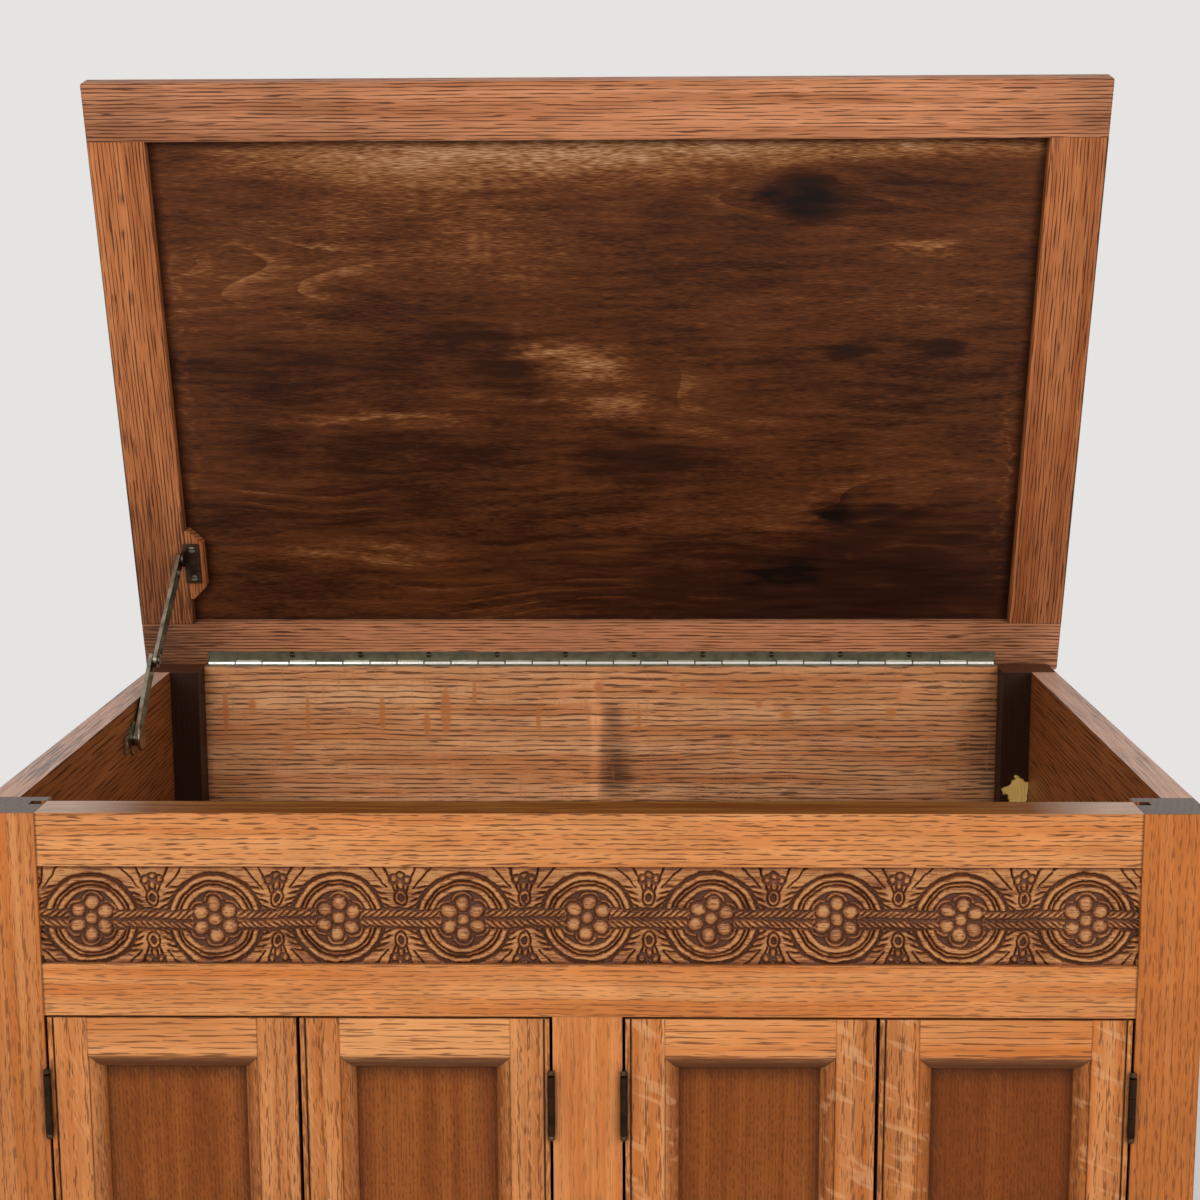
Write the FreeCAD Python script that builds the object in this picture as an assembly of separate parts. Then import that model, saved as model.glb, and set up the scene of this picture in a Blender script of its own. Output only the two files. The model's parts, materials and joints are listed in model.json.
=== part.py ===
import FreeCAD, Part
import math
import os

V = FreeCAD.Vector
os.makedirs("parts", exist_ok=True)

# All sizes are millimetres: X runs to the right, Y to the back, Z up from the floor.
# The chest stands on its four posts, centred on the origin, with the lid held open.

# Carcass
carcass_width = 800.0
carcass_depth = 500.0
post_height = 730.0
front_post_width = 42.4
front_post_depth = 40.0
rear_post_width = 46.0
rear_post_depth = 37.5
side_thickness = 21.5
rail_depth = 30.0
top_rail_height = 35.7
frieze_height = 66.2
middle_rail_height = 35.3
bottom_rail_height = 45.0
foot_height = 60.0
muntin_width = 45.8
back_board_thickness = 12.0
floor_thickness = 12.0
partition_thickness = 12.0
ledger_size = 16.0
ledger_margin = 2.0
door_stop_height = 12.0

# Tongues and grooves that join the frame
tongue_thickness = 8.0
tongue_length = 9.5
tongue_end_clearance = 0.5
tongue_shoulder = 6.0
post_slot_depth = 12.0
side_tongue_setback = 7.0
back_tongue_thickness = 6.0

# Carved frieze
frieze_setback = 1.5
frieze_relief = 4.0
frieze_board_thickness = 11.0
frieze_tongue_thickness = 6.0
frieze_tongue_length = 6.0
roundel_count = 9
roundel_edge_margin = 1.6
roundel_end_margin = 2.5
roundel_ring_width = 5.0
rosette_radius = 14.0
rope_height = 12.0

# Doors
hinge_gap = 2.0
meeting_gap = 2.5
door_end_gap = 1.5
door_thickness = 20.0
door_stop_gap = 0.3
stile_width = 26.0
door_rail_height = 27.0
moulding_width = 9.5
moulding_step = 1.0
panel_setback = 10.0
door_panel_thickness = 6.0
door_panel_tongue = 6.0
bead_width = 3.0
bead_quirk_width = 1.2
bead_quirk_depth = 1.8
knob_radius = 12.5
knob_neck_radius = 6.0
knob_length = 22.0
knob_height_share = 0.56

# Butt hinges of the doors
butt_barrel_radius = 2.5
butt_barrel_length = 41.0
butt_pin_radius = 1.2
butt_leaf_share = 0.4
butt_leaf_depth = 16.0
butt_end_distance = 59.0
butt_finial_radius = 2.4
butt_finial_length = 4.0

# Lid
lid_overhang = 10.0
lid_thickness = 20.0
lid_rail_width = 46.5
lid_stile_width = 47.0
lid_panel_thickness = 8.0
lid_panel_recess = 10.0
lid_arris_radius = 2.5
lid_gap = 0.5
lid_open_angle = 75.0

# Piano hinge
piano_barrel_radius = 2.3
piano_pin_radius = 1.2
piano_leaf_thickness = 1.2
piano_leaf_width = 9.0
piano_knuckle_count = 29
piano_end_margin = 1.0

# Folding stay
stay_bar_thickness = 3.2
stay_bar_width = 13.0
stay_bar_gap = 0.5
stay_upper_lean = 4.0
stay_channel_wall = 1.4
stay_upper_share = 0.58
stay_pivot_radius = 2.5
stay_rivet_radius = 3.5
stay_rivet_height = 1.2
stay_wall_pivot_reach = 172.6
stay_wall_pivot_drop = 28.0
stay_lid_pivot_reach = 105.0
stay_lid_pivot_drop = 9.0
stay_plate_length = 60.0
stay_plate_height = 14.0
stay_plate_thickness = 1.5
stay_disc_radius = 14.0
stay_cap_radius = 10.5
stay_cap_thickness = 2.5
stay_cap_rounding = 1.8
stay_block_width = 15.0
stay_block_length = 65.0
stay_block_reach = 96.0
stay_block_chamfer = 12.0
stay_bracket_reach = 98.0
stay_bracket_length = 37.0
stay_bracket_width = 13.5
stay_bracket_thickness = 1.5
stay_ear_radius = 6.0
stay_ear_thickness = 2.0

# Running fits
knuckle_gap = 0.3
barrel_clearance = 0.3
pin_clearance = 0.08
rivet_clearance = 0.1

# Places derived from the sizes
half_width = carcass_width / 2
front = -carcass_depth / 2
back = carcass_depth / 2
groove_depth = tongue_length + tongue_end_clearance
front_post_inner = half_width - front_post_width
rear_post_inner = half_width - rear_post_width
side_inner = half_width - side_thickness
front_post_back = front + front_post_depth
rear_post_front = back - rear_post_depth
rail_back = front + rail_depth
back_inner = back - back_board_thickness
top_rail_bottom = post_height - top_rail_height
frieze_bottom = top_rail_bottom - frieze_height
opening_top = frieze_bottom - middle_rail_height
opening_bottom = foot_height + bottom_rail_height
board_bottom = opening_top - ledger_size - ledger_margin
floor_bottom = opening_bottom - floor_thickness
muntin_half = muntin_width / 2


def box(x0, x1, y0, y1, z0, z1):
    return Part.makeBox(x1 - x0, y1 - y0, z1 - z0, V(x0, y0, z0))


def rod(radius, x0, x1, y, z):
    return Part.makeCylinder(radius, x1 - x0, V(x0, y, z), V(1, 0, 0))


def upright(radius, x, y, z0, z1):
    return Part.makeCylinder(radius, z1 - z0, V(x, y, z0), V(0, 0, 1))


def union(shapes):
    return shapes[0].multiFuse(shapes[1:]).removeSplitter()


def opposite(shape):
    return shape.mirror(V(0, 0, 0), V(1, 0, 0))


def export(node, *solids):
    shape = solids[0] if len(solids) == 1 else Part.makeCompound(list(solids))
    shape.exportStep("parts/" + node + ".step")


def export_pair(name, shape):
    export("right_" + name, shape)
    export("left_" + name, opposite(shape))


def turned(profile, base, axis):
    """A turned piece: a list of (radius, height) points spun about the axis from its base."""
    points = [V(0, 0, profile[0][1])]
    points += [V(radius, 0, height) for radius, height in profile]
    points += [V(0, 0, profile[-1][1]), points[0]]
    spun = Part.Face(Part.makePolygon(points)).revolve(V(0, 0, 0), V(0, 0, 1), 360)
    spun.Placement = FreeCAD.Placement(base, FreeCAD.Rotation(V(0, 0, 1), axis))
    return spun


# Frame of the carcass
rail_tongue_front = rail_back - tongue_thickness
side_tongue_outer = half_width - side_tongue_setback
side_tongue_inner = side_tongue_outer - tongue_thickness
back_tongue_back = back - (back_board_thickness - back_tongue_thickness) / 2
back_tongue_front = back_tongue_back - back_tongue_thickness
groove_foot = foot_height + tongue_shoulder
groove_head = post_height - post_slot_depth
tongue_reach = front_post_inner + tongue_length
rear_tongue_reach = rear_post_inner + tongue_length


def front_post():
    post = box(front_post_inner, half_width, front, front_post_back, 0, post_height)
    reach = front_post_inner + groove_depth
    slot = box(front_post_inner, reach, rail_tongue_front, rail_back,
               opening_top + tongue_shoulder, post_height)
    foot_slot = box(front_post_inner, reach, rail_tongue_front, rail_back, groove_foot,
                    opening_bottom - tongue_shoulder)
    side_groove = box(side_tongue_inner, side_tongue_outer, front_post_back - groove_depth, front_post_back,
                      groove_foot, groove_head)
    return post.cut([slot, foot_slot, side_groove])


def rear_post():
    post = box(rear_post_inner, half_width, rear_post_front, back, 0, post_height)
    side_groove = box(side_tongue_inner, side_tongue_outer, rear_post_front, rear_post_front + groove_depth,
                      groove_foot, groove_head)
    back_groove = box(rear_post_inner, rear_post_inner + groove_depth, back_tongue_front, back_tongue_back,
                      groove_foot, groove_head)
    return post.cut([side_groove, back_groove])


def front_rail(z0, z1, tongue0, tongue1):
    body = box(-front_post_inner, front_post_inner, front, rail_back, z0, z1)
    tongue = box(-tongue_reach, tongue_reach, rail_tongue_front, rail_back, tongue0, tongue1)
    return union([body, tongue])


frieze_ground = front + frieze_setback + frieze_relief
frieze_back = frieze_ground + frieze_board_thickness
frieze_tongue_front = (frieze_ground + frieze_back - frieze_tongue_thickness) / 2
frieze_tongue_back = frieze_tongue_front + frieze_tongue_thickness
frieze_groove = frieze_tongue_length + tongue_end_clearance


def frieze_slot(z0, z1):
    return box(-front_post_inner, front_post_inner, frieze_tongue_front, frieze_tongue_back, z0, z1)


def muntin_mortise(z0, z1):
    return box(-muntin_half + tongue_shoulder, muntin_half - tongue_shoulder,
               rail_tongue_front, rail_back, z0, z1)


export_pair("front_post", front_post())
export_pair("rear_post", rear_post())

top_rail = front_rail(top_rail_bottom, post_height, top_rail_bottom, groove_head)
export("front_top_rail", top_rail.cut(frieze_slot(top_rail_bottom, top_rail_bottom + frieze_groove)))

middle_rail = front_rail(opening_top, frieze_bottom, opening_top + tongue_shoulder, frieze_bottom)
middle_slots = [frieze_slot(frieze_bottom - frieze_groove, frieze_bottom),
                muntin_mortise(opening_top, opening_top + groove_depth)]
export("front_middle_rail", middle_rail.cut(middle_slots))

bottom_rail = front_rail(foot_height, opening_bottom, groove_foot, opening_bottom - tongue_shoulder)
export("front_bottom_rail", bottom_rail.cut(muntin_mortise(opening_bottom - groove_depth, opening_bottom)))

muntin_body = box(-muntin_half, muntin_half, front, rail_back, opening_bottom, opening_top)
muntin_tenon = muntin_mortise(opening_bottom - tongue_length, opening_top + tongue_length)
export("front_muntin", union([muntin_body, muntin_tenon]))


def frieze_panel():
    """The frieze board with its raised rings, rosettes and the band that links them."""
    centre = (frieze_bottom + top_rail_bottom) / 2
    board = box(-front_post_inner, front_post_inner, frieze_ground, frieze_back,
                frieze_bottom, top_rail_bottom)
    tongue = box(-front_post_inner, front_post_inner, frieze_tongue_front, frieze_tongue_back,
                 frieze_bottom - frieze_tongue_length, top_rail_bottom + frieze_tongue_length)
    radius = frieze_height / 2 - roundel_edge_margin
    pitch = 2 * (front_post_inner - roundel_end_margin - radius) / (roundel_count - 1)
    high = front + frieze_setback
    low = frieze_ground - frieze_relief / 2
    band = box(-front_post_inner, front_post_inner, low, frieze_ground,
               centre - rope_height / 2, centre + rope_height / 2)
    rings = []
    hollows = []
    rosettes = []
    for index in range(roundel_count):
        middle = V((index - (roundel_count - 1) / 2) * pitch, high, centre)
        rings.append(Part.makeCylinder(radius, frieze_relief, middle, V(0, 1, 0)))
        hollows.append(Part.makeCylinder(radius - roundel_ring_width, frieze_relief, middle, V(0, 1, 0)))
        rosettes.append(Part.makeCylinder(rosette_radius, frieze_relief, middle, V(0, 1, 0)))
    raised = union([band] + rings).cut(hollows)
    return union([board, tongue, raised] + rosettes)


export("frieze_panel", frieze_panel())


# Sides, back, floors and partition
def side_member(z0, z1, tongue0, tongue1):
    body = box(side_inner, half_width, front_post_back, rear_post_front, z0, z1)
    tongue = box(side_tongue_inner, side_tongue_outer, front_post_back - tongue_length,
                 rear_post_front + tongue_length, tongue0, tongue1)
    return union([body, tongue])


def side_slot(z0, z1):
    return box(side_tongue_inner, side_tongue_outer, front_post_back, rear_post_front, z0, z1)


top_board = side_member(board_bottom, post_height, board_bottom + groove_depth, groove_head)
export_pair("top_board", top_board.cut(side_slot(board_bottom, board_bottom + groove_depth)))
side_rail = side_member(foot_height, opening_bottom, groove_foot, opening_bottom - groove_depth)
export_pair("bottom_rail", side_rail.cut(side_slot(opening_bottom - groove_depth, opening_bottom)))
export_pair("side_panel", box(side_tongue_inner, side_tongue_outer, front_post_back - tongue_length,
                              rear_post_front + tongue_length, opening_bottom - tongue_length,
                              board_bottom + tongue_length))


def back_member(z0, z1, tongue0, tongue1):
    body = box(-rear_post_inner, rear_post_inner, back_inner, back, z0, z1)
    tongue = box(-rear_tongue_reach, rear_tongue_reach, back_tongue_front, back_tongue_back,
                 tongue0, tongue1)
    return union([body, tongue])


def back_slot(z0, z1):
    return box(-rear_post_inner, rear_post_inner, back_tongue_front, back_tongue_back, z0, z1)


piano_axis_y = back + piano_barrel_radius + barrel_clearance
piano_axis_z = post_height + lid_gap / 2
piano_half = rear_post_inner - piano_end_margin
piano_leaf_back = piano_axis_y - piano_barrel_radius - barrel_clearance
piano_leaf_front = piano_leaf_back - piano_leaf_width
leaf_seat = box(-piano_half, piano_half, piano_leaf_front, back,
                post_height - piano_leaf_thickness, post_height)
back_board = back_member(board_bottom, post_height, board_bottom + groove_depth, groove_head)
export("back_top_board", back_board.cut([back_slot(board_bottom, board_bottom + groove_depth), leaf_seat]))
back_rail = back_member(foot_height, opening_bottom, groove_foot, opening_bottom - groove_depth)
export("back_bottom_rail", back_rail.cut(back_slot(opening_bottom - groove_depth, opening_bottom)))
export("back_panel", box(-rear_tongue_reach, rear_tongue_reach, back_tongue_front, back_tongue_back,
                         opening_bottom - tongue_length, board_bottom + tongue_length))


def floor_board(z0):
    board = box(-side_inner, side_inner, rail_back, back_inner, z0, z0 + floor_thickness)
    corners = []
    for side in (-1, 1):
        x_front = sorted((side * front_post_inner, side * half_width))
        x_rear = sorted((side * rear_post_inner, side * half_width))
        corners.append(box(*x_front, front, front_post_back, 0, post_height))
        corners.append(box(*x_rear, rear_post_front, back, 0, post_height))
    return board.cut(corners)


def ledgers(z_top):
    """Strips along the sides and the back that carry a floor."""
    side = box(side_inner - ledger_size, side_inner, front_post_back, rear_post_front,
               z_top - ledger_size, z_top)
    rear = box(partition_thickness / 2, rear_post_inner, back_inner - ledger_size, back_inner,
               z_top - ledger_size, z_top)
    return [side, opposite(side), rear, opposite(rear)]


export("coffer_floor", floor_board(opening_top))
export("cupboard_floor", floor_board(floor_bottom))
export("coffer_floor_ledgers", *ledgers(opening_top))
export("cupboard_floor_ledgers", *ledgers(floor_bottom))
export("centre_partition", box(-partition_thickness / 2, partition_thickness / 2, rail_back, back_inner,
                               opening_bottom, opening_top))
door_back = front + door_thickness
door_stop = box(muntin_half, front_post_inner, door_back + door_stop_gap, rail_back,
                opening_top - door_stop_height, opening_top)
export("door_stops", door_stop, opposite(door_stop))


# Doors
door_width = (front_post_inner - muntin_half - 2 * hinge_gap - meeting_gap) / 2
door_bottom = opening_bottom + door_end_gap
door_top = opening_top - door_end_gap
panel_front = front + panel_setback
door_groove = door_panel_tongue + tongue_end_clearance
butt_axis_y = front - butt_barrel_radius - barrel_clearance
butt_leaf_thickness = hinge_gap * butt_leaf_share
butt_heights = (door_bottom + butt_end_distance, door_top - butt_end_distance)


def moulding(length):
    """An ovolo strip along X: its frame edge is at Z 0 and it falls away to the panel at -Z."""
    start = V(0, front + moulding_step, 0)
    end = V(0, panel_front, -moulding_width)
    depth = panel_front - front - moulding_step
    middle = V(0, front + moulding_step + depth * (1 - math.cos(math.pi / 4)),
               -moulding_width * math.sin(math.pi / 4))
    corner = V(0, panel_front, 0)
    wire = Part.Wire([Part.Arc(start, middle, end).toShape(), Part.makeLine(end, corner),
                      Part.makeLine(corner, start)])
    strip = Part.Face(wire).extrude(V(length, 0, 0))
    outline = [V(0, front, 0), V(length, front, 0), V(length - moulding_width, front, -moulding_width),
               V(moulding_width, front, -moulding_width), V(0, front, 0)]
    mitre = Part.Face(Part.makePolygon(outline)).extrude(V(0, panel_setback, 0))
    return strip.common(mitre)


def placed_moulding(length, turn, x, z):
    """A moulding strip turned about the door's normal, with its start at x, z."""
    strip = moulding(length)
    strip.rotate(V(0, 0, 0), V(0, -1, 0), turn)
    strip.translate(V(x, 0, z))
    return strip


def door_stiles(x0, beaded_right):
    """Both stiles: the left one always has a bead at its outer edge, the right one where it is hinged."""
    x1 = x0 + door_width
    height = door_top - door_bottom - 2 * door_rail_height
    left = union([box(x0, x0 + stile_width, front, door_back, door_bottom, door_top),
                  placed_moulding(height, 90, x0 + stile_width, door_bottom + door_rail_height)])
    right = union([box(x1 - stile_width, x1, front, door_back, door_bottom, door_top),
                   placed_moulding(height, 270, x1 - stile_width, door_top - door_rail_height)])
    groove = box(x0 + stile_width - door_groove, x1 - stile_width + door_groove,
                 panel_front, panel_front + door_panel_thickness,
                 door_bottom + tongue_shoulder, door_top - tongue_shoulder)
    left = left.cut(groove)
    right = right.cut(groove)
    quirk = box(0, bead_quirk_width, front, front + bead_quirk_depth, door_bottom, door_top)
    left = left.cut(quirk.translated(V(x0 + bead_width, 0, 0)))
    if beaded_right:
        right = right.cut(quirk.translated(V(x1 - bead_width - bead_quirk_width, 0, 0)))
    return left, right


def door_rail(x0, z0, z1, tongue0, tongue1, strip):
    """A door rail between the stiles, with its stub tongues and its moulding strip."""
    x1 = x0 + door_width
    body = box(x0 + stile_width, x1 - stile_width, front, door_back, z0, z1)
    tongue = box(x0 + stile_width - door_panel_tongue, x1 - stile_width + door_panel_tongue,
                 panel_front, panel_front + door_panel_thickness, tongue0, tongue1)
    return union([body, tongue, strip])


def door_rails(x0):
    x1 = x0 + door_width
    width = door_width - 2 * stile_width
    head_edge = door_top - door_rail_height
    foot_edge = door_bottom + door_rail_height
    upper = door_rail(x0, head_edge, door_top, head_edge + door_groove, door_top - tongue_shoulder,
                      placed_moulding(width, 0, x0 + stile_width, head_edge))
    lower = door_rail(x0, door_bottom, foot_edge, door_bottom + tongue_shoulder, foot_edge - door_groove,
                      placed_moulding(width, 180, x1 - stile_width, foot_edge))
    groove = box(x0 + stile_width, x1 - stile_width, panel_front, panel_front + door_panel_thickness,
                 foot_edge - door_groove, head_edge + door_groove)
    return upper.cut(groove), lower.cut(groove)


def door_panel(x0):
    reach = stile_width - door_panel_tongue
    rise = door_rail_height - door_panel_tongue
    return box(x0 + reach, x0 + door_width - reach, panel_front, panel_front + door_panel_thickness,
               door_bottom + rise, door_top - rise)


def knob(x):
    height = door_bottom + (door_top - door_bottom) * knob_height_share
    profile = [(knob_neck_radius * 1.4, 0), (knob_neck_radius * 1.4, knob_length * 0.1),
               (knob_neck_radius, knob_length * 0.25), (knob_neck_radius, knob_length * 0.4),
               (knob_radius, knob_length * 0.62), (knob_radius, knob_length * 0.78),
               (knob_radius * 0.7, knob_length * 0.95), (knob_radius * 0.25, knob_length)]
    return turned(profile, V(x, front, height), V(0, -1, 0))


def butt_leaf(face, away, z, own_knuckles, hole_radius):
    """A leaf lying on a face at X = face, on the side that away points to, with its knuckles."""
    axis_x = face + away * hinge_gap / 2
    x0, x1 = sorted((face, face + away * butt_leaf_thickness))
    half = butt_barrel_length / 2
    third = butt_barrel_length / 3
    leaf_start = butt_axis_y + butt_barrel_radius + barrel_clearance
    shapes = [box(x0, x1, leaf_start, leaf_start + butt_leaf_depth, z - half, z + half)]
    holes = []
    for index in own_knuckles:
        z0 = z - half + index * third + knuckle_gap / 2
        z1 = z - half + (index + 1) * third - knuckle_gap / 2
        shapes.append(box(x0, x1, butt_axis_y, leaf_start, z0, z1))
        shapes.append(upright(butt_barrel_radius, axis_x, butt_axis_y, z0, z1))
        holes.append(upright(hole_radius, axis_x, butt_axis_y, z0, z1))
    return union(shapes).cut(holes)


def butt_pin(axis_x, z):
    half = butt_barrel_length / 2
    top = half + butt_finial_length
    profile = [(butt_finial_radius * 0.5, -top), (butt_finial_radius, -top + butt_finial_length * 0.35),
               (butt_finial_radius, -top + butt_finial_length * 0.65), (butt_finial_radius * 0.6, -half),
               (butt_pin_radius, -half), (butt_pin_radius, half), (butt_finial_radius * 0.6, half),
               (butt_finial_radius, top - butt_finial_length * 0.65),
               (butt_finial_radius, top - butt_finial_length * 0.35), (butt_finial_radius * 0.5, top)]
    return turned(profile, V(axis_x, butt_axis_y, z), V(0, 0, 1))


# Each door: its left edge, and the side it hinges on (-1 left, 1 right).
doors = [(-front_post_inner + hinge_gap, -1), (-muntin_half - hinge_gap - door_width, 1),
         (muntin_half + hinge_gap, -1), (front_post_inner - hinge_gap - door_width, 1)]
fixed_leaves = []
hinge_pins = []
for number, (x0, hinge_side) in enumerate(doors, 1):
    name = "door_%d_" % number
    x1 = x0 + door_width
    edge = x0 if hinge_side < 0 else x1
    knob_x = x1 - stile_width / 2 if hinge_side < 0 else x0 + stile_width / 2
    export(name + "stiles", *door_stiles(x0, hinge_side > 0))
    export(name + "rails", *door_rails(x0))
    export(name + "panel", door_panel(x0))
    export(name + "knob", knob(knob_x))
    door_leaves = []
    for z in butt_heights:
        door_leaves.append(butt_leaf(edge, hinge_side, z, (1,), butt_pin_radius + pin_clearance))
        frame_face = edge + hinge_side * hinge_gap
        fixed_leaves.append(butt_leaf(frame_face, -hinge_side, z, (0, 2), butt_pin_radius))
        hinge_pins.append(butt_pin(edge + hinge_side * hinge_gap / 2, z))
    export(name + "hinge_leaves", *door_leaves)
export("door_hinge_fixed_leaves", *fixed_leaves)
export("door_hinge_pins", *hinge_pins)


# Lid, drawn shut and then turned open about the hinge pin
lid_half = half_width + lid_overhang
lid_front = front - lid_overhang
lid_back = back + lid_overhang
lid_bottom = post_height + lid_gap
lid_top = lid_bottom + lid_thickness
lid_panel_bottom = lid_bottom + lid_panel_recess
lid_panel_top = lid_panel_bottom + lid_panel_thickness
stile_inner = lid_half - lid_stile_width
rail_front_inner = lid_front + lid_rail_width
rail_back_inner = lid_back - lid_rail_width


def opened(shape):
    turn = shape.copy()
    turn.rotate(V(0, piano_axis_y, piano_axis_z), V(1, 0, 0), -lid_open_angle)
    return turn


def lies_in(edge, plane):
    axis, value = plane
    return abs(getattr(edge.CenterOfMass, axis) - value) < 0.01


def rounded(shape, outer_planes, joint_planes):
    """Round the edges of the outer planes, but not those along a joint."""
    chosen = [edge for edge in shape.Edges
              if any(lies_in(edge, plane) for plane in outer_planes)
              and not any(lies_in(edge, plane) for plane in joint_planes)]
    return shape.makeFillet(lid_arris_radius, chosen)


def lid_rail(y_outer, y_inner):
    y0, y1 = sorted((y_outer, y_inner))
    body = rounded(box(-lid_half, lid_half, y0, y1, lid_bottom, lid_top),
                   [("y", y_outer), ("x", -lid_half), ("x", lid_half)], [("y", y_inner)])
    outward = math.copysign(groove_depth, y_outer - y_inner)
    g0, g1 = sorted((y_inner, y_inner + outward))
    reach = lid_half - 2 * tongue_shoulder
    return body.cut(box(-reach, reach, g0, g1, lid_panel_bottom, lid_panel_top))


def lid_stile():
    body = rounded(box(stile_inner, lid_half, rail_front_inner, rail_back_inner, lid_bottom, lid_top),
                   [("x", lid_half)], [("y", rail_front_inner), ("y", rail_back_inner)])
    groove = box(stile_inner, stile_inner + groove_depth, rail_front_inner, rail_back_inner,
                 lid_panel_bottom, lid_panel_top)
    tenon = box(stile_inner + groove_depth, lid_half - 2 * tongue_shoulder,
                rail_front_inner - tongue_length, rail_back_inner + tongue_length,
                lid_panel_bottom, lid_panel_top)
    return union([body.cut(groove), tenon])


leaf_bed = box(-piano_half, piano_half, piano_leaf_front, piano_leaf_back,
               lid_bottom, lid_bottom + piano_leaf_thickness)
barrel_room = piano_barrel_radius + barrel_clearance
barrel_bed = box(-piano_half, piano_half, piano_leaf_back, piano_axis_y + barrel_room,
                 lid_bottom, piano_axis_z + barrel_room)
export("lid_front_rail", opened(lid_rail(lid_front, rail_front_inner)))
export("lid_rear_rail", opened(lid_rail(lid_back, rail_back_inner).cut([leaf_bed, barrel_bed])))
export("lid_right_stile", opened(lid_stile()))
export("lid_left_stile", opened(opposite(lid_stile())))
panel_reach = stile_inner + tongue_length
export("lid_panel", opened(box(-panel_reach, panel_reach, rail_front_inner - tongue_length,
                               rail_back_inner + tongue_length, lid_panel_bottom, lid_panel_top)))


# Piano hinge
def piano_leaf(z0, first, hole_radius):
    """A leaf whose underside is at z0, with every second knuckle from the first."""
    z1 = z0 + piano_leaf_thickness
    pitch = 2 * piano_half / piano_knuckle_count
    shapes = [box(-piano_half, piano_half, piano_leaf_front, piano_leaf_back, z0, z1)]
    holes = []
    for index in range(first, piano_knuckle_count, 2):
        x0 = -piano_half + index * pitch + knuckle_gap / 2
        x1 = -piano_half + (index + 1) * pitch - knuckle_gap / 2
        shapes.append(box(x0, x1, piano_leaf_back, piano_axis_y, z0, z1))
        shapes.append(rod(piano_barrel_radius, x0, x1, piano_axis_y, piano_axis_z))
        holes.append(rod(hole_radius, x0, x1, piano_axis_y, piano_axis_z))
    return union(shapes).cut(holes)


export("piano_hinge_back_leaf", piano_leaf(post_height - piano_leaf_thickness, 0, piano_pin_radius))
export("piano_hinge_lid_leaf", opened(piano_leaf(lid_bottom, 1, piano_pin_radius + pin_clearance)))
export("piano_hinge_pin", rod(piano_pin_radius, -piano_half, piano_half, piano_axis_y, piano_axis_z))

# Folding stay at the left. From the wall inwards: side plate, lower bar, upper bar and the lid's ear. The
# upper bar leans, so that it meets the lower bar at the elbow and the ear at the lid
plate_x1 = -side_inner + stay_plate_thickness
lower_x0 = plate_x1 + stay_bar_gap
lower_x1 = lower_x0 + stay_bar_thickness
upper_x0 = lower_x1 + stay_bar_gap
upper_x1 = upper_x0 + stay_bar_thickness
cap_x1 = upper_x0 + stay_cap_thickness
ear_x0 = upper_x1 + stay_upper_lean + stay_bar_gap
ear_x1 = ear_x0 + stay_ear_thickness
wall_pivot = V(0, piano_axis_y - stay_wall_pivot_reach, post_height - stay_wall_pivot_drop)
shut_lid_pivot = V(0, piano_axis_y - stay_lid_pivot_reach, lid_bottom - stay_lid_pivot_drop)
lid_pivot = opened(Part.Vertex(shut_lid_pivot)).Point
elbow = lid_pivot + (wall_pivot - lid_pivot) * stay_upper_share


def slat(x0, x1, radius, start, end):
    """A flat bar with round ends about two points."""
    reach = end - start
    strip = box(x0, x1, 0, reach.Length, -radius, radius)
    strip.rotate(V(0, 0, 0), V(1, 0, 0), math.degrees(math.atan2(reach.z, reach.y)))
    strip.translate(start)
    return union([strip, rod(radius, x0, x1, start.y, start.z), rod(radius, x0, x1, end.y, end.z)])


def stay_bar(x0, x1, pivot, end, lean):
    """A pressed channel, open away from the wall and flat round both ends. It leans from its layer at the end
    to a hole at its pivot."""
    radius = stay_bar_width / 2
    reach = pivot - end
    flat = reach * (stay_bar_width / reach.Length)
    channel = slat(x0 + stay_channel_wall, x1, radius - stay_channel_wall, pivot - flat, end + flat)
    bar = slat(x0, x1, radius, pivot, end).cut(channel)
    bar.rotate(V(x0, end.y, end.z), reach.cross(V(1, 0, 0)), math.degrees(math.asin(lean / reach.Length)))
    return bar.cut(rod(stay_pivot_radius + rivet_clearance, x0 - stay_bar_gap, x1 + lean + stay_bar_gap,
                       pivot.y, pivot.z))


def elbow_rivet(x0, x1):
    return rod(stay_rivet_radius, x0, x1, elbow.y, elbow.z)


upper_bar = stay_bar(upper_x0, upper_x1, lid_pivot, elbow, stay_upper_lean)
lower_bar = stay_bar(lower_x0, lower_x1, wall_pivot, elbow, 0)
upper_rivet = elbow_rivet(upper_x0 + stay_channel_wall, upper_x1 + stay_rivet_height)
export("stay_upper_bar", union([upper_bar, upper_rivet]))
export("stay_lower_bar", union([lower_bar, elbow_rivet(lower_x0 - stay_rivet_height, lower_x0)]))

cap = rod(stay_cap_radius, upper_x0, cap_x1, wall_pivot.y, wall_pivot.z)
cap_rim = [edge for edge in cap.Edges if abs(edge.CenterOfMass.x - cap_x1) < 1e-6]
side_plate = union([
    box(-side_inner, plate_x1, wall_pivot.y - stay_plate_length / 2, wall_pivot.y + stay_plate_length / 2,
        wall_pivot.z - stay_plate_height / 2, wall_pivot.z + stay_plate_height / 2),
    rod(stay_disc_radius, -side_inner, plate_x1, wall_pivot.y, wall_pivot.z),
    rod(stay_pivot_radius, plate_x1, upper_x0, wall_pivot.y, wall_pivot.z),
    cap.makeFillet(stay_cap_rounding, cap_rim)])
export("stay_side_plate", side_plate)


def block_edge(along):
    return piano_axis_y - stay_block_reach + along * stay_block_length / 2


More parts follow.
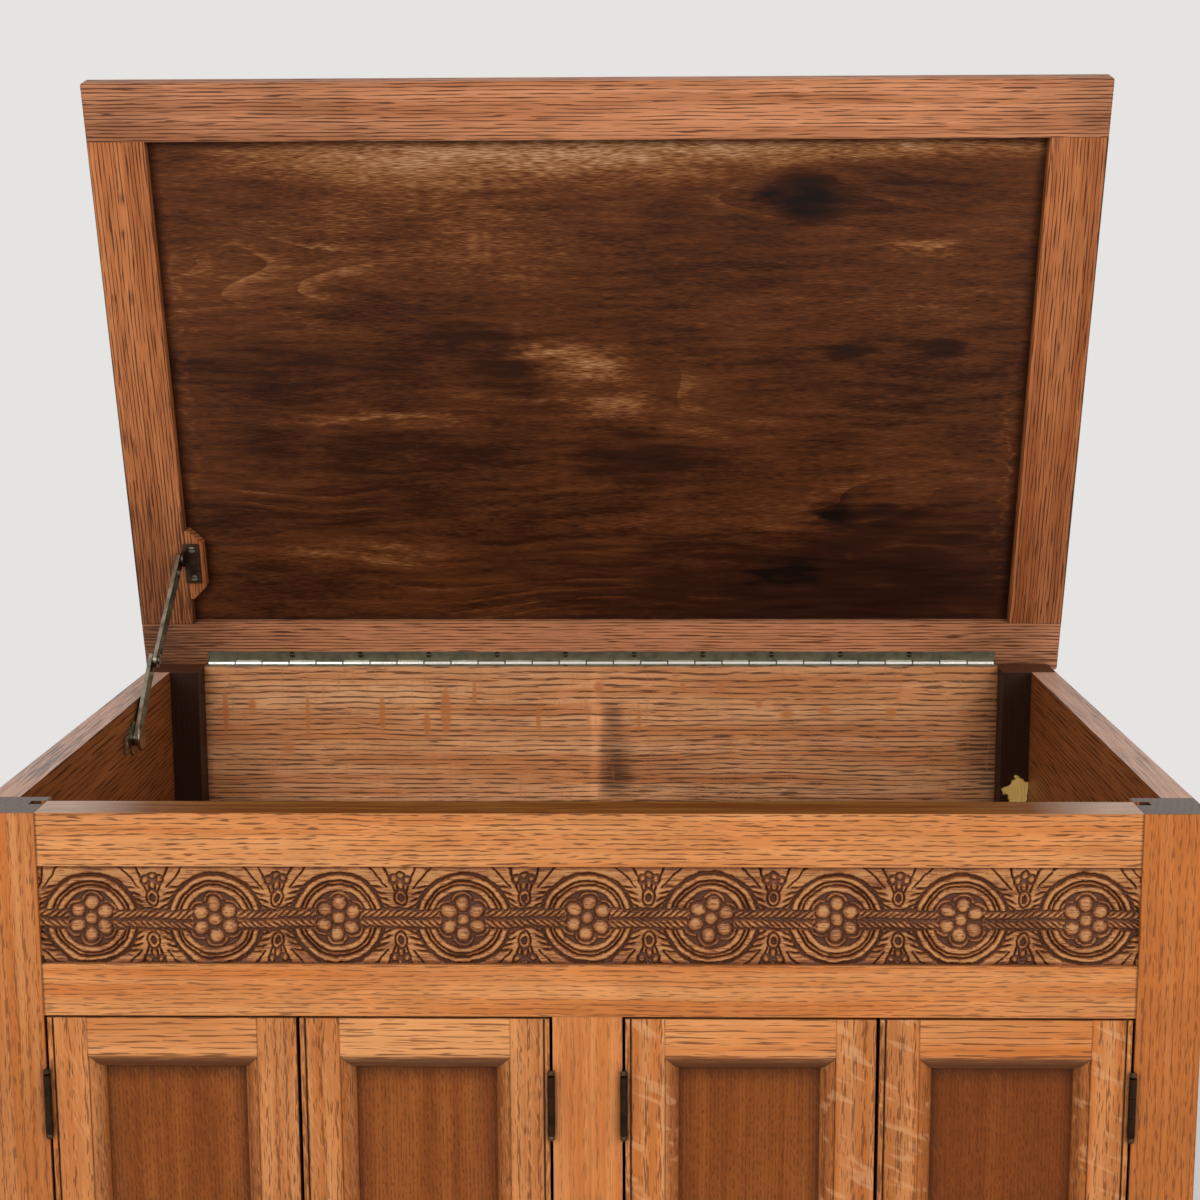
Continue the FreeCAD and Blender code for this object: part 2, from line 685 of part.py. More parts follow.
block_x0 = -stile_inner
block_x1 = block_x0 + stay_block_width
block_outline = [V(block_x0, block_edge(-1), lid_bottom),
                 V(block_x1 - stay_block_chamfer, block_edge(-1), lid_bottom),
                 V(block_x1, block_edge(-1) + stay_block_chamfer, lid_bottom),
                 V(block_x1, block_edge(1) - stay_block_chamfer, lid_bottom),
                 V(block_x1 - stay_block_chamfer, block_edge(1), lid_bottom),
                 V(block_x0, block_edge(1), lid_bottom), V(block_x0, block_edge(-1), lid_bottom)]
stay_block = Part.Face(Part.makePolygon(block_outline)).extrude(V(0, 0, lid_panel_recess))
export("stay_block", opened(stay_block))

pivot_y = shut_lid_pivot.y
pivot_z = shut_lid_pivot.z
bracket_y = piano_axis_y - stay_bracket_reach
rivet_x1 = upper_x0 + stay_upper_lean - stay_bar_gap
bracket = union([
    box(ear_x0, ear_x0 + stay_bracket_width, bracket_y - stay_bracket_length / 2,
        bracket_y + stay_bracket_length / 2, lid_bottom - stay_bracket_thickness, lid_bottom),
    box(ear_x0, ear_x1, pivot_y - stay_ear_radius, pivot_y + stay_ear_radius, pivot_z, lid_bottom),
    rod(stay_ear_radius, ear_x0, ear_x1, pivot_y, pivot_z),
    rod(stay_pivot_radius, rivet_x1, ear_x0, pivot_y, pivot_z),
    rod(stay_rivet_radius, rivet_x1 - stay_rivet_height, rivet_x1, pivot_y, pivot_z)])
export("stay_lid_bracket", opened(bracket))
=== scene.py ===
import json
import math

import bpy
import numpy as np
from bpy.props import FloatProperty, FloatVectorProperty, IntProperty, PointerProperty
from mathutils import Matrix, Vector


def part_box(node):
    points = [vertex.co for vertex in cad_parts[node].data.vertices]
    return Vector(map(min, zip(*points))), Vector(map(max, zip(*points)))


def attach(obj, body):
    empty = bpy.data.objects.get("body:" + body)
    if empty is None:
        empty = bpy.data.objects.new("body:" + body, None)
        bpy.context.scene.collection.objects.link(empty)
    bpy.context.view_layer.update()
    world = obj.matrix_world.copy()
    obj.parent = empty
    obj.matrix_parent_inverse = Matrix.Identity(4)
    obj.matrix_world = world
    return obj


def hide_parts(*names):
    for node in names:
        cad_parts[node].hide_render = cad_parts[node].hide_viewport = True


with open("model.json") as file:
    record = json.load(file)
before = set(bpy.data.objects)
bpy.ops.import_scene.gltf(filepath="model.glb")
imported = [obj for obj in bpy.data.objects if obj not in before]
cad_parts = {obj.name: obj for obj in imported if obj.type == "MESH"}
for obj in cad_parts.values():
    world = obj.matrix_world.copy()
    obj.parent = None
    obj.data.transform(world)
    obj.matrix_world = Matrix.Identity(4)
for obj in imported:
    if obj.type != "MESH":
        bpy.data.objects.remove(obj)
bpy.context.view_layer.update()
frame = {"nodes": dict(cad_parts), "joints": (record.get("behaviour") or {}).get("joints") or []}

bl_info = {
    "name": "Oak Coffer Chest",
    "version": (1, 0, 0),
    "blender": (4, 5, 0),
    "location": "View3D > Sidebar > Coffer",
    "description": "Finishes an oak coffer with a hinged lid, a carved frieze and four panelled doors",
    "category": "Object",
}

MM = 0.001

# The sockets of a Mix node for its factor and its two colours, and its output for a colour
MIX_INPUTS, MIX_OUTPUT = (0, 6, 7), 2
# Operations on vectors that give a number
TO_NUMBER = ("LENGTH", "DISTANCE", "DOT_PRODUCT")
# The mean of a noise, taken off so that it sways both ways, and the ends that most of it lies between
MEAN_NOISE = (0.5, 0.5, 0.5)
NOISE_LOW, NOISE_HIGH = 0.3, 0.7

LID_HINGE = next(joint for joint in frame["joints"] if joint["name"] == "lid_hinge")
LID_AXIS = Vector(LID_HINGE["pos_m"])
LID_OPENING = math.radians(LID_HINGE["range_deg"][1])


def linear(code):
    """The linear red, green and blue of an sRGB hex colour."""
    values = [int(code[i:i + 2], 16) / 255 for i in (1, 3, 5)]
    return tuple(v / 12.92 if v <= 0.04045 else ((v + 0.055) / 1.055) ** 2.4 for v in values)


def colour(name, description, code):
    return FloatVectorProperty(name=name, description=description, subtype="COLOR", size=3,
                               min=0.0, max=1.0, default=linear(code))


def length(name, description, millimetres):
    return FloatProperty(name=name, description=description, unit="LENGTH", subtype="DISTANCE",
                         min=0.0, default=millimetres * MM)


def angle(name, description, radians):
    return FloatProperty(name=name, description=description, subtype="ANGLE", default=radians)


def power(name, description, watts):
    return FloatProperty(name=name, description=description, unit="POWER", min=0.0, default=watts)


class OakFinish(bpy.types.PropertyGroup):
    """Colours of the oak, and the sizes of its grain."""
    front_light: colour("Front oak, light", "Smooth late wood of the front frame", "#EBA163")
    front_deep: colour("Front oak, deep", "Darker bands of the front frame", "#CF7735")
    front_pore: colour("Front oak, pores", "Dark polish in the open pores of the front", "#6A3A1B")
    panel_light: colour("Door panel, light", "Lighter streaks of the door panels", "#9F5925")
    panel_deep: colour("Door panel, deep", "Darker bands of the door panels", "#804014")
    panel_pore: colour("Door panel, pores", "Pores of the door panels", "#55290F")
    lid_light: colour("Lid oak, light", "Smooth late wood of the lid frame", "#DD9468")
    lid_deep: colour("Lid oak, deep", "Darker bands of the lid frame", "#B06A3E")
    lid_pore: colour("Lid oak, pores", "Dark stain in the pores of the lid frame", "#4E2815")
    stile_light: colour("Lid stiles, light", "Smooth late wood of the two stiles of the lid", "#D8864F")
    stile_deep: colour("Lid stiles, deep", "Darker bands of the two stiles of the lid", "#AC5E2D")
    stile_pore: colour("Lid stiles, pores", "Dark stain in the pores of the stiles", "#4A230F")
    side_light: colour("Side oak, light", "Lighter streaks of the sides, floors and back", "#A5622F")
    side_deep: colour("Side oak, deep", "Darker bands of the sides, floors and back", "#85471D")
    side_pore: colour("Side oak, pores", "Pores of the sides, floors and back", "#4A240E")
    back_light: colour("Back board, light", "Late wood of the figured back board", "#F0B27E")
    back_deep: colour("Back board, deep", "Darker bands of the back board", "#C5773F")
    back_pore: colour("Back board, pores", "Dark lines of the back board", "#452614")
    ray: colour("Ray flecks", "Flakes where the saw ran along the rays", "#EBB380")
    # The near-black is a stain together with painted shade of the coffer's inside
    black: colour("Rear posts", "Near-black stain inside the rear posts", "#24120B")
    raw: colour("Raw wood", "Bare pale wood in the chip of a rear post", "#FFD87C")
    # Also the colour of the painted shade that darkens the corners and creases of the oak
    edge: colour("Worn edge", "Dark line that handling leaves along an edge", "#4E2B16")
    # The next three colours are wear with a painted sheen of the bright room on faces that point up
    top_wear_and_sheen: colour("Worn top edge", "Rubbed, pinkish top edges of the sides", "#E2B299")
    top_grey_and_sheen: colour("Greyed top edge", "Grey patches in the top edges", "#9C8A80")
    rail_end_grey_and_sheen: colour("Rail top, ends", "Greyed ends of the front rail's top edge", "#D8B59D")
    end_grain: colour("End grain", "Grey end grain on top of the front posts", "#75665C")
    rail_top: colour("Rail top", "Brown top edge of the front rail", "#7E4216")
    rail_gold: colour("Rail top, streaks", "Golden streaks in the front rail's top edge", "#AE7632")
    pore_width: length("Pore width", "Width of a pore's dash, drawn wider than the real 0.3 mm to show", 0.8)
    ring_width: length("Ring width", "Spacing of the growth rings in a rail", 4.0)


class PlyFinish(bpy.types.PropertyGroup):
    """Colours of the stained birch plywood panel in the lid."""
    dark: colour("Darkest stain", "Knots and clouds of the panel", "#140803")
    deep: colour("Deep stain", "Darker fibres of the panel", "#3A1B0B")
    brown: colour("Brown stain", "Lighter fibres of the panel", "#6E3C1C")
    tan: colour("Thin stain", "Streaks where the stain is thin", "#A87043")
    pale: colour("Pale wood", "Scuffs down to the birch", "#D3A27A")


class FriezeCarving(bpy.types.PropertyGroup):
    """Sizes of the carved roundels and the rope between them."""
    count: IntProperty(name="Roundels", description="Number of roundels along the frieze", default=9, min=1)
    step: length("Grid step", "Spacing of the points of the carved surface", 0.36)
    depth: length("Depth", "From the top of the relief to the sunk ground", 4.0)
    edge_margin: length("Edge margin", "From a roundel to the top and bottom of the frieze", 1.6)
    end_margin: length("End margin", "From the last roundel to the end of the frieze", 2.5)
    rope_half: length("Rope half height", "Half the height of the two-strand rope", 6.3)
    rope_pitch: length("Rope pitch", "Spacing of the strokes along the rope", 4.6)
    petal_reach: length("Petal reach", "From the middle of a rosette to the middle of a petal", 10.4)
    petal_radius: length("Petal radius", "Radius of a petal", 5.1)
    notch_pitch: length("Notch pitch", "Spacing of the notches along the edge of a leaf", 4.4)
    drop: length("Drop", "How far the middle of the carving lies below the middle of the frieze", 3.1)
    high: colour("High relief", "Rubbed tops of the carving", "#CC8F57")
    middle: colour("Slopes", "Sides of the carving", "#9A5C32")
    # The ground colour is dark polish together with painted shade in the recesses
    ground: colour("Ground", "Dark polish in the sunk ground", "#58321D")


class Fittings(bpy.types.PropertyGroup):
    """Sizes and colours of the hinges, the stay and their screws."""
    nickel: colour("Nickel", "Plated barrel of the piano hinge", "#F0EDE4")
    # Tarnish together with a painted reflection of the dark inside of the coffer
    leaf: colour("Hinge leaf", "Tarnished leaves of the piano hinge", "#8F8B75")
    bronze: colour("Bronze", "Brown-grey steel of the stay", "#A29884")
    dark_bronze: colour("Dark bronze", "Bronzed bracket and the pins of the butt hinges", "#5A493A")
    brown_bronze: colour("Brown bronze", "Brown lacquered leaves of the butt hinges", "#3A2A1F")
    screw_steel: colour("Screw steel", "Rubbed heads of the stay's screws", "#B7B09B")
    screw_dark: colour("Dark screws", "Tarnished heads of the piano hinge's screws", "#4A4538")
    tarnish: colour("Tarnish", "Darkest tarnish of all fittings", "#211C15")
    screw_diameter: length("Screw head", "Diameter of a countersunk screw head", 5.6)
    screw_pitch: length("Screw pitch", "Spacing of the screws along the piano hinge", 61.5)
    screw_proud: length("Screw height", "How far a screw head stands proud", 0.18)
    bracket_reach: length("Bracket reach", "From the lid's axis to the middle of the stay's bracket", 98.0)
    bracket_pitch: length("Bracket pitch", "Spacing of the two screws of the stay's bracket", 27.0)


class StudioStage(bpy.types.PropertyGroup):
    """Camera, background and lamps."""
    camera_place: FloatVectorProperty(
        name="Camera", description="Where the camera stands", subtype="TRANSLATION", unit="LENGTH", size=3,
        default=(0.0311, -1.4596, 1.0648))
    camera_yaw: angle("Yaw", "Turn of the view to the right", -0.0180)
    camera_pitch: angle("Pitch", "How far the view looks down", 0.1603)
    camera_roll: angle("Roll", "Turn of the camera about its view", 0.0036)
    lens: FloatProperty(name="Lens", description="Focal length on a sensor 36 mm wide",
                        subtype="DISTANCE_CAMERA", default=58.2)
    backdrop: colour("Backdrop", "Pale grey of what lies behind the chest", "#E5E4E2")
    floor: colour("Floor", "Pale matt floor", "#F6F5F3")
    fill: FloatProperty(name="Fill", description="Even light from all round", default=0.30, min=0.0)
    key: power("Key", "Power of the soft lamp at the left", 38.0)
    side: power("Side", "Power of the soft lamp at the right", 30.0)
    rear: power("Rear", "Power of the soft lamp behind", 32.0)


def connect(tree, node, inputs):
    """Set or link the inputs of a node, which are named in a dict or given in the order of its sockets."""
    named = inputs if isinstance(inputs, dict) else dict(enumerate(inputs))
    for socket, value in named.items():
        if isinstance(value, bpy.types.NodeSocket):
            tree.links.new(value, node.inputs[socket])
        else:
            node.inputs[socket].default_value = value


def add(tree, kind, inputs=(), result=0, **settings):
    """Add a shader node with its settings and inputs, and return one of its outputs."""
    node = tree.nodes.new("ShaderNode" + kind)
    for setting, value in settings.items():
        setattr(node, setting, value)
    connect(tree, node, inputs)
    return node.outputs[result]


def rgba(value):
    return (*value, 1.0)


def maths(tree, operation, *values):
    """What an operation makes of one to three numbers."""
    return add(tree, "Math", values, operation=operation)


def vector(tree, operation, *values):
    """What an operation makes of one to three vectors: a vector, or for some operations a number."""
    return add(tree, "VectorMath", values, "Value" if operation in TO_NUMBER else 0, operation=operation)


def scaled(tree, shade, factor):
    """A colour made lighter or darker by a factor."""
    return add(tree, "VectorMath", {0: shade, "Scale": factor}, operation="SCALE")


def mapped(tree, value, start, end, low=0.0, high=1.0, easing="LINEAR"):
    """A number that goes from low to high while a value goes from start to end."""
    return add(tree, "MapRange", (value, start, end, low, high), interpolation_type=easing)


def eased(tree, *stretch):
    """A mapped number that eases in and out."""
    return mapped(tree, *stretch, easing="SMOOTHSTEP")


def swing(tree, noise, low, high):
    """A number that goes from low to high with a noise."""
    return mapped(tree, noise, NOISE_LOW, NOISE_HIGH, low, high)


def mix(tree, factor, under, over):
    """A colour laid over another by a factor. Each is a socket, or red, green and blue."""
    colours = [value if isinstance(value, bpy.types.NodeSocket) else rgba(value) for value in (under, over)]
    return add(tree, "Mix", dict(zip(MIX_INPUTS, (factor, *colours))), MIX_OUTPUT, data_type="RGBA")


def ramp(tree, value, *stops):
    """A colour that goes through stops, each a position and a colour, while a value grows."""
    result = add(tree, "ValToRGB", {"Fac": value})
    elements = result.node.color_ramp.elements
    for element, (position, shade) in zip(elements, (stops[0], stops[-1])):
        element.position = position
        element.color = rgba(shade)
    for position, shade in stops[1:-1]:
        elements.new(position).color = rgba(shade)
    return result


def swayed(tree, place, noise, reach):
    """A place that a coloured noise moves to and fro, as far as a reach along each axis lets it."""
    return vector(tree, "MULTIPLY_ADD", vector(tree, "SUBTRACT", noise, MEAN_NOISE), reach, place)


def new_material(name):
    material = bpy.data.materials.new(name)
    material.use_nodes = True
    tree = material.node_tree
    return material, tree, tree.nodes["Principled BSDF"]


def finish(node, material):
    """Give a node of the frame its material."""
    for place in frame["nodes"][node].material_slots:
        place.material = material


def seed_of(node):
    """A number that differs from piece to piece, so that no two boards share their grain."""
    return float(sum(ord(letter) * (i + 3) for i, letter in enumerate(node)) % 997)


# Turns that bring the grain to X, the depth of the board to Y and its width to Z
GRAIN_TURNS = {
    "X": Matrix.Identity(3),
    "Y": Matrix.Rotation(-math.pi / 2, 3, "Z"),
    "Z": Matrix.Rotation(math.pi / 2, 3, "Y"),
}
# How deep the outer faces of a post go before its dark core begins: painted shade in the slots of a front
# post, stain and painted shade in a rear post
SKIN = 4 * MM
# The turn that would stand the open lid upright
LID_TILT = Matrix.Rotation(LID_OPENING - math.pi / 2, 3, "X")


def board_space(tree, node, grain, tilt):
    """Coordinates in metres from the middle of a board: along the grain, into it and across it."""
    low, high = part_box(node)
    turn = GRAIN_TURNS[grain] @ tilt
    place = add(tree, "TexCoord", result="Object")
    centre = turn @ ((low + high) / 2)
    return add(tree, "Mapping", {"Vector": place, "Rotation": turn.to_euler(), "Location": -centre})


def edge_wear(tree, radius):
    """A normal that rounds the edges, and a mask that is 1 along them."""
    soft = add(tree, "Bevel", {"Radius": radius}, samples=2)
    true = add(tree, "NewGeometry", result="Normal")
    along = vector(tree, "DOT_PRODUCT", soft, true)
    return soft, mapped(tree, along, 0.995, 0.80)


def palette(kind):
    """The light, deep and pore colours of one kind of oak."""
    tones = bpy.context.scene.coffer_oak
    return [getattr(tones, kind + "_" + part) for part in ("light", "deep", "pore")]


def streaks(tree, place, size, detail, seed, result=0):
    """Noise drawn out to a size in millimetres: along the grain, into the board and across it."""
    stretched = add(tree, "Mapping", {"Vector": place, "Scale": [1 / (edge * MM) for edge in size]})
    return add(tree, "TexNoise", {"Vector": stretched, "W": seed, "Scale": 1.0, "Detail": detail}, result,
               noise_dimensions="4D")


def spots(tree, place, marks):
    """Soft oval spots added up. Each is given in millimetres by its place along the grain and across it,
    half its length, half its width and its strength."""
    total = 0.0
    for along, across, half_length, half_width, strength in marks:
        spot = vector(tree, "SUBTRACT", place, (along * MM, 0.0, across * MM))
        spot = vector(tree, "MULTIPLY", spot, (1 / (half_length * MM), 0.0, 1 / (half_width * MM)))
        spot = vector(tree, "LENGTH", spot)
        spot = eased(tree, spot, 1.6, 0.1, 0.0, strength)
        total = maths(tree, "ADD", total, spot)
    return total


# From the middle of a board to the pith of its tree, in metres
PITH = (0.0, 0.03, 0.10)


def early_wood(tree, place, width, crowd):
    """How much the pores crowd: most in the early wood of each growth ring, a circle round the pith."""
    flat = vector(tree, "MULTIPLY", place, (0.0, 1.0, 1.0))
    from_pith = vector(tree, "DISTANCE", flat, PITH)
    ring = maths(tree, "DIVIDE", from_pith, width)
    ring = maths(tree, "PINGPONG", ring, 0.5)
    return eased(tree, ring, 0.28, 0.04, 0.0, crowd)


def top_wear_and_painted_light(tree, node, shade, bent, field, colours):
    """Cover what faces up in a rubbed colour with patches of a second one, and in a third at both ends.
    These colours are wear, and painted light on faces that point up: a painted sheen on the pale pinkish and
    grey tops, and painted shade on the dark tops of the rear posts.
    """
    rubbed, patched, ends = colours
    up = add(tree, "SeparateXYZ", (add(tree, "TexCoord", result="Normal"),), result="Z")
    sheen_and_wear = mapped(tree, up, 0.6, 0.9)
    patch = maths(tree, "ADD", field["bands"], field["fibre"])
    patch = mapped(tree, patch, 0.98, 1.16)
    cover = mix(tree, patch, rubbed, patched)
    low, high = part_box(node)
    half_length = max(high - low) / 2
    reach = add(tree, "SeparateXYZ", (bent,), result="X")
    reach = maths(tree, "ABSOLUTE", reach)
    fade_from, fade_to = half_length - 80 * MM, half_length - 30 * MM
    reach = mapped(tree, reach, fade_from, fade_to)
    cover = mix(tree, reach, cover, ends)
    cover = scaled(tree, cover, swing(tree, field["fibre"], 1.25, 0.75))
    return mix(tree, sheen_and_wear, shade, cover)


def stain_and_shade_core(tree, shade, first, second, stain, strength):
    """Lay a colour on the faces that lie in the box between two corners. On the front posts it is painted
    shade, on the rear posts a stain with painted shade, and on the back board a stain.
    """
    place = add(tree, "TexCoord", result="Object")
    nearest = vector(tree, "MAXIMUM", place, first)
    nearest = vector(tree, "MINIMUM", nearest, second)
    outside = vector(tree, "DISTANCE", place, nearest)
    inside = mapped(tree, outside, 0.05 * MM, 0.0, 0.0, strength)
    return mix(tree, inside, shade, stain)


def finish_oak(node, grain, kind, *, tilt=Matrix.Identity(3), bias=0.0, pores=0.75, pore_length=9.0,
               rings=1.0, crowd=0.15, wave=3.0, rays=0.0, ray_size=(13.0, 1.5), ray_slant=0.35, flakes=(),
               top=None, core=None, marks=(), rich=0.0, corner_shade_reach=8.0, gloss=0.25):
    """Planed and waxed oak. Open pores show as dark dashes along the grain, crowded in rows that follow the
    growth rings. Soft bands and fine fibres run between them. Rays show as pale flakes across the grain, and
    some are given as spots. Handling has darkened the edges. The corners and creases are darker by ambient
    occlusion: painted shade, with some old polish. Marks are spots that darken the wood below 0 and bleach
    it above, and rich turns dark ones redder. A core is two corners of a box, with the colour and the
    strength laid on the faces in it. Sizes are in millimetres, and so is the reach of the painted shade in
    the corners."""
    tones = bpy.context.scene.coffer_oak
    light, deep, pore = palette(kind)
    material, tree, shader = new_material("oak_planed_waxed_" + node)
    seed = seed_of(node)
    board = board_space(tree, node, grain, tilt)
    sway = streaks(tree, board, (140, 40, 40), 4.0, seed, "Color")
    bent = swayed(tree, board, sway, (0.0, wave * MM, wave * MM))
    # Length and width in millimetres, and detail; real fibres are too fine to show and are drawn wider
    patterns = {
        "pores": (pore_length, tones.pore_width / MM, 0.5),
        "fibre": (45, 1.0, 1.0),
        "bands": (300, 9, 2.0),
        "mottle": (50, 26, 1.0),
    }
    field = {name: streaks(tree, bent, (along, across, across), detail, seed)
             for name, (along, across, detail) in patterns.items()}
    stains = spots(tree, bent, marks)
    early = early_wood(tree, bent, tones.ring_width * rings, crowd)
    crowded = maths(tree, "ADD", field["pores"], early)
    crowded = maths(tree, "MULTIPLY_ADD", stains, -0.15, crowded)
    dashes = eased(tree, crowded, 0.63, 0.73, 0.0, pores)

    tone = mapped(tree, field["bands"], 0.35, 0.65, bias, 0.75 + bias)
    tone = maths(tree, "MULTIPLY_ADD", stains, -rich, tone)
    shade = mix(tree, tone, light, deep)
    shade = scaled(tree, shade, swing(tree, field["fibre"], 1.10, 0.88))
    shade = scaled(tree, shade, swing(tree, field["mottle"], 0.92, 1.08))
    shade = scaled(tree, shade, maths(tree, "MULTIPLY_ADD", stains, 0.6, 1.0))
    if rays:
        along, across = ray_size
        slanted = add(tree, "Mapping", {"Vector": board, "Rotation": (0.0, ray_slant, 0.0)})
        shown = streaks(tree, slanted, (along, across, across), 1.0, seed)
        shown = eased(tree, shown, 0.57, 0.67, 0.0, rays)
        broken = swing(tree, field["fibre"], 0.30, 0.55)
        placed = mapped(tree, spots(tree, bent, flakes), broken, 0.75, 0.0, 0.8)
        shown = maths(tree, "MAXIMUM", shown, placed)
        clear = maths(tree, "SUBTRACT", 1.0, shown)
        dashes = maths(tree, "MULTIPLY", dashes, clear)
        ray = {"panel": light, "back": deep}.get(kind, tones.ray)
        shade = mix(tree, shown, shade, ray)
    shade = mix(tree, dashes, shade, pore)
    if top is not None:
        shade = top_wear_and_painted_light(tree, node, shade, bent, field, top)

    soft, edges = edge_wear(tree, 1.2 * MM)
    edges = maths(tree, "MULTIPLY", edges, 0.5)
    # Ambient occlusion darkens the corners and creases: painted shade, with some old polish; the darkened
    # edges are real wear
    dark_build_up_and_shade = add(tree, "AmbientOcclusion", {"Distance": corner_shade_reach * MM}, result="AO", samples=2)
    dark_build_up_and_shade = mapped(tree, dark_build_up_and_shade, 0.74, 0.25, 0.0, 0.92)
    wear_and_shade = maths(tree, "MAXIMUM", edges, dark_build_up_and_shade)
    shade = mix(tree, wear_and_shade, shade, tones.edge)
    if core is not None:
        shade = stain_and_shade_core(tree, shade, *core)
    rough = maths(tree, "MULTIPLY_ADD", dashes, 0.25, 0.42)
    relief = add(tree, "Bump", {"Height": dashes, "Strength": 0.4, "Distance": 0.25 * MM, "Normal": soft},
                 invert=True)
    connect(tree, shader, {"Base Color": shade, "Roughness": rough, "Normal": relief,
                           "Specular IOR Level": gloss})
    finish(node, material)
    return material


# Marks on the inside of the lid panel, as spots in millimetres from its middle: along the panel to the
# right, up towards the lid's front edge, half length, half height and tone, darker below 0 and paler above
PANEL_MARKS = [
    (172, 164, 26, 20, -0.34), (139, 166, 9, 7, -0.30), (205, -112, 16, 15, -0.30),
    (240, -114, 40, 9, -0.22), (170, -166, 26, 13, -0.32), (143, -171, 9, 6, -0.32),
    (292, 38, 24, 5, -0.26), (212, 36, 16, 8, -0.18), (240, 175, 120, 18, -0.06),
    (-12, 24, 38, 18, 0.30), (-52, 36, 34, 6, 0.28), (14, -14, 34, 14, 0.24),
    (-190, -24, 90, 4, 0.22), (-60, -8, 60, 4, 0.14), (40, -62, 60, 20, -0.18),
    (266, 124, 30, 8, 0.20), (-80, 199, 210, 22, 0.35), (200, 206, 190, 11, 0.27),
    (260, -190, 130, 46, -0.22), (-352, 30, 4, 150, 0.08), (352, -70, 3, 110, 0.10),
    (-110, 48, 34, 9, -0.18), (-250, -70, 120, 60, -0.08), (-140, 140, 180, 45, 0.14),
    (-280, 28, 130, 22, -0.12), (-220, -150, 110, 10, 0.12), (60, -120, 120, 8, 0.10),
    (290, -130, 90, 45, -0.14), (0, -170, 200, 45, -0.12), (-80, 20, 38, 28, -0.13),
    (260, 75, 90, 25, 0.07), (90, 140, 120, 25, -0.06),
]
# The depth of the panel doesn't change its pattern, so the noise is drawn out this far into it, in mm
THROUGH = 1000


def finish_ply(node):
    """Rotary-cut birch plywood, stained by hand. The stain goes in unevenly, so the panel has dark clouds,
    fine paler fibres, feathered contour lines of the veneer, knots and scuffs."""
    tones = bpy.context.scene.coffer_ply
    material, tree, shader = new_material("birch_ply_stained_" + node)
    seed = seed_of(node)
    panel = board_space(tree, node, "X", LID_TILT)
    warp = streaks(tree, panel, (110, THROUGH, 40), 4.0, seed, "Color")
    bent = vector(tree, "MULTIPLY_ADD", warp, (0.03, 0.0, 0.016), panel)
    # Length and height in millimetres, detail, and weight in the tone; real fibres are drawn wider to show
    patterns = {
        "clouds": (200, 60, 3.0, 0.55),
        "streaks": (60, 6, 3.0, 0.50),
        "fibres": (10, 0.8, 1.0, 0.48),
        "contour": (520, 90, 1.0, 0.0),
        "shown": (150, 70, 2.0, 0.0),
    }
    field = {}
    tone = 0.39
    for name, (along, across, detail, weight) in patterns.items():
        field[name] = streaks(tree, bent, (along, THROUGH, across), detail, seed)
        off_mean = maths(tree, "SUBTRACT", field[name], 0.5)
        tone = maths(tree, "MULTIPLY_ADD", off_mean, weight, tone)
    lines = maths(tree, "MULTIPLY", field["contour"], 15.0)
    lines = maths(tree, "FRACT", lines)
    sparse = mapped(tree, field["shown"], 0.5, 0.66, 0.0, 0.15)
    lines = eased(tree, lines, 0.45, 0.0, 0.0, sparse)
    rubbed = swing(tree, field["fibres"], 0.55, 1.45)
    tone = maths(tree, "MULTIPLY_ADD", lines, rubbed, tone)

    torn = streaks(tree, panel, (30, THROUGH, 10), 3.0, seed, "Color")
    ragged = swayed(tree, panel, torn, (0.06, 0.0, 0.026))
    depth = add(tree, "SeparateXYZ", (panel,), result="Y")
    inside = mapped(tree, depth, 1 * MM, -1 * MM)
    shown = maths(tree, "MULTIPLY", inside, rubbed)
    tone = maths(tree, "MULTIPLY_ADD", spots(tree, ragged, PANEL_MARKS), shown, tone)
    stain = ramp(tree, tone, (0.0, tones.dark), (0.28, tones.deep), (0.52, tones.brown),
                 (0.76, tones.tan), (1.0, tones.pale))
    # Ambient occlusion darkens the panel along its frame: a darker stain there, and painted shade of the
    # frame's edge
    dark_build_up_and_shade = add(tree, "AmbientOcclusion", {"Distance": 9 * MM}, result="AO", samples=3)
    border = mapped(tree, dark_build_up_and_shade, 0.88, 0.45, 0.0, 0.8)
    shade = mix(tree, border, stain, tones.dark)
    rough = swing(tree, field["streaks"], 0.42, 0.58)
    relief = add(tree, "Bump", {"Height": field["fibres"], "Strength": 0.15, "Distance": 0.2 * MM})
    connect(tree, shader, {"Base Color": shade, "Roughness": rough, "Normal": relief,
                           "Specular IOR Level": 0.15})
    finish(node, material)


def chip(material, corner, half_width, half_height):
    """A torn chip in a stained post that bares the pale wood, as an oval whose outline a noise frays."""
    tree = material.node_tree
    base = tree.nodes["Principled BSDF"].inputs["Base Color"]
    place = add(tree, "TexCoord", result="Object")
    torn = add(tree, "TexNoise", {"Vector": place, "Scale": 1 / (9 * MM), "Detail": 3.0}, result="Color")
    spot = vector(tree, "SUBTRACT", swayed(tree, place, torn, (0.02, 0.0, 0.02)), corner)
    spot = vector(tree, "MULTIPLY", spot, (1 / half_width, 1 / (3 * MM), 1 / half_height))
    spot = vector(tree, "LENGTH", spot)
    bare = mapped(tree, spot, 1.08, 0.92)
    along, across = 20 * MM, 1.5 * MM
    stretched = add(tree, "Mapping", {"Vector": place, "Scale": (1 / across, 1 / across, 1 / along)})
    fibre = add(tree, "TexNoise", {"Vector": stretched, "Scale": 1.0, "Detail": 2.0})
    bare_wood = bpy.context.scene.coffer_oak.raw
    raw = scaled(tree, bare_wood, swing(tree, fibre, 0.8, 1.1))
    shade = mix(tree, bare, base.links[0].from_socket, raw)
    tree.links.new(shade, base)


# Knuckles of the piano hinge
KNUCKLES = 29


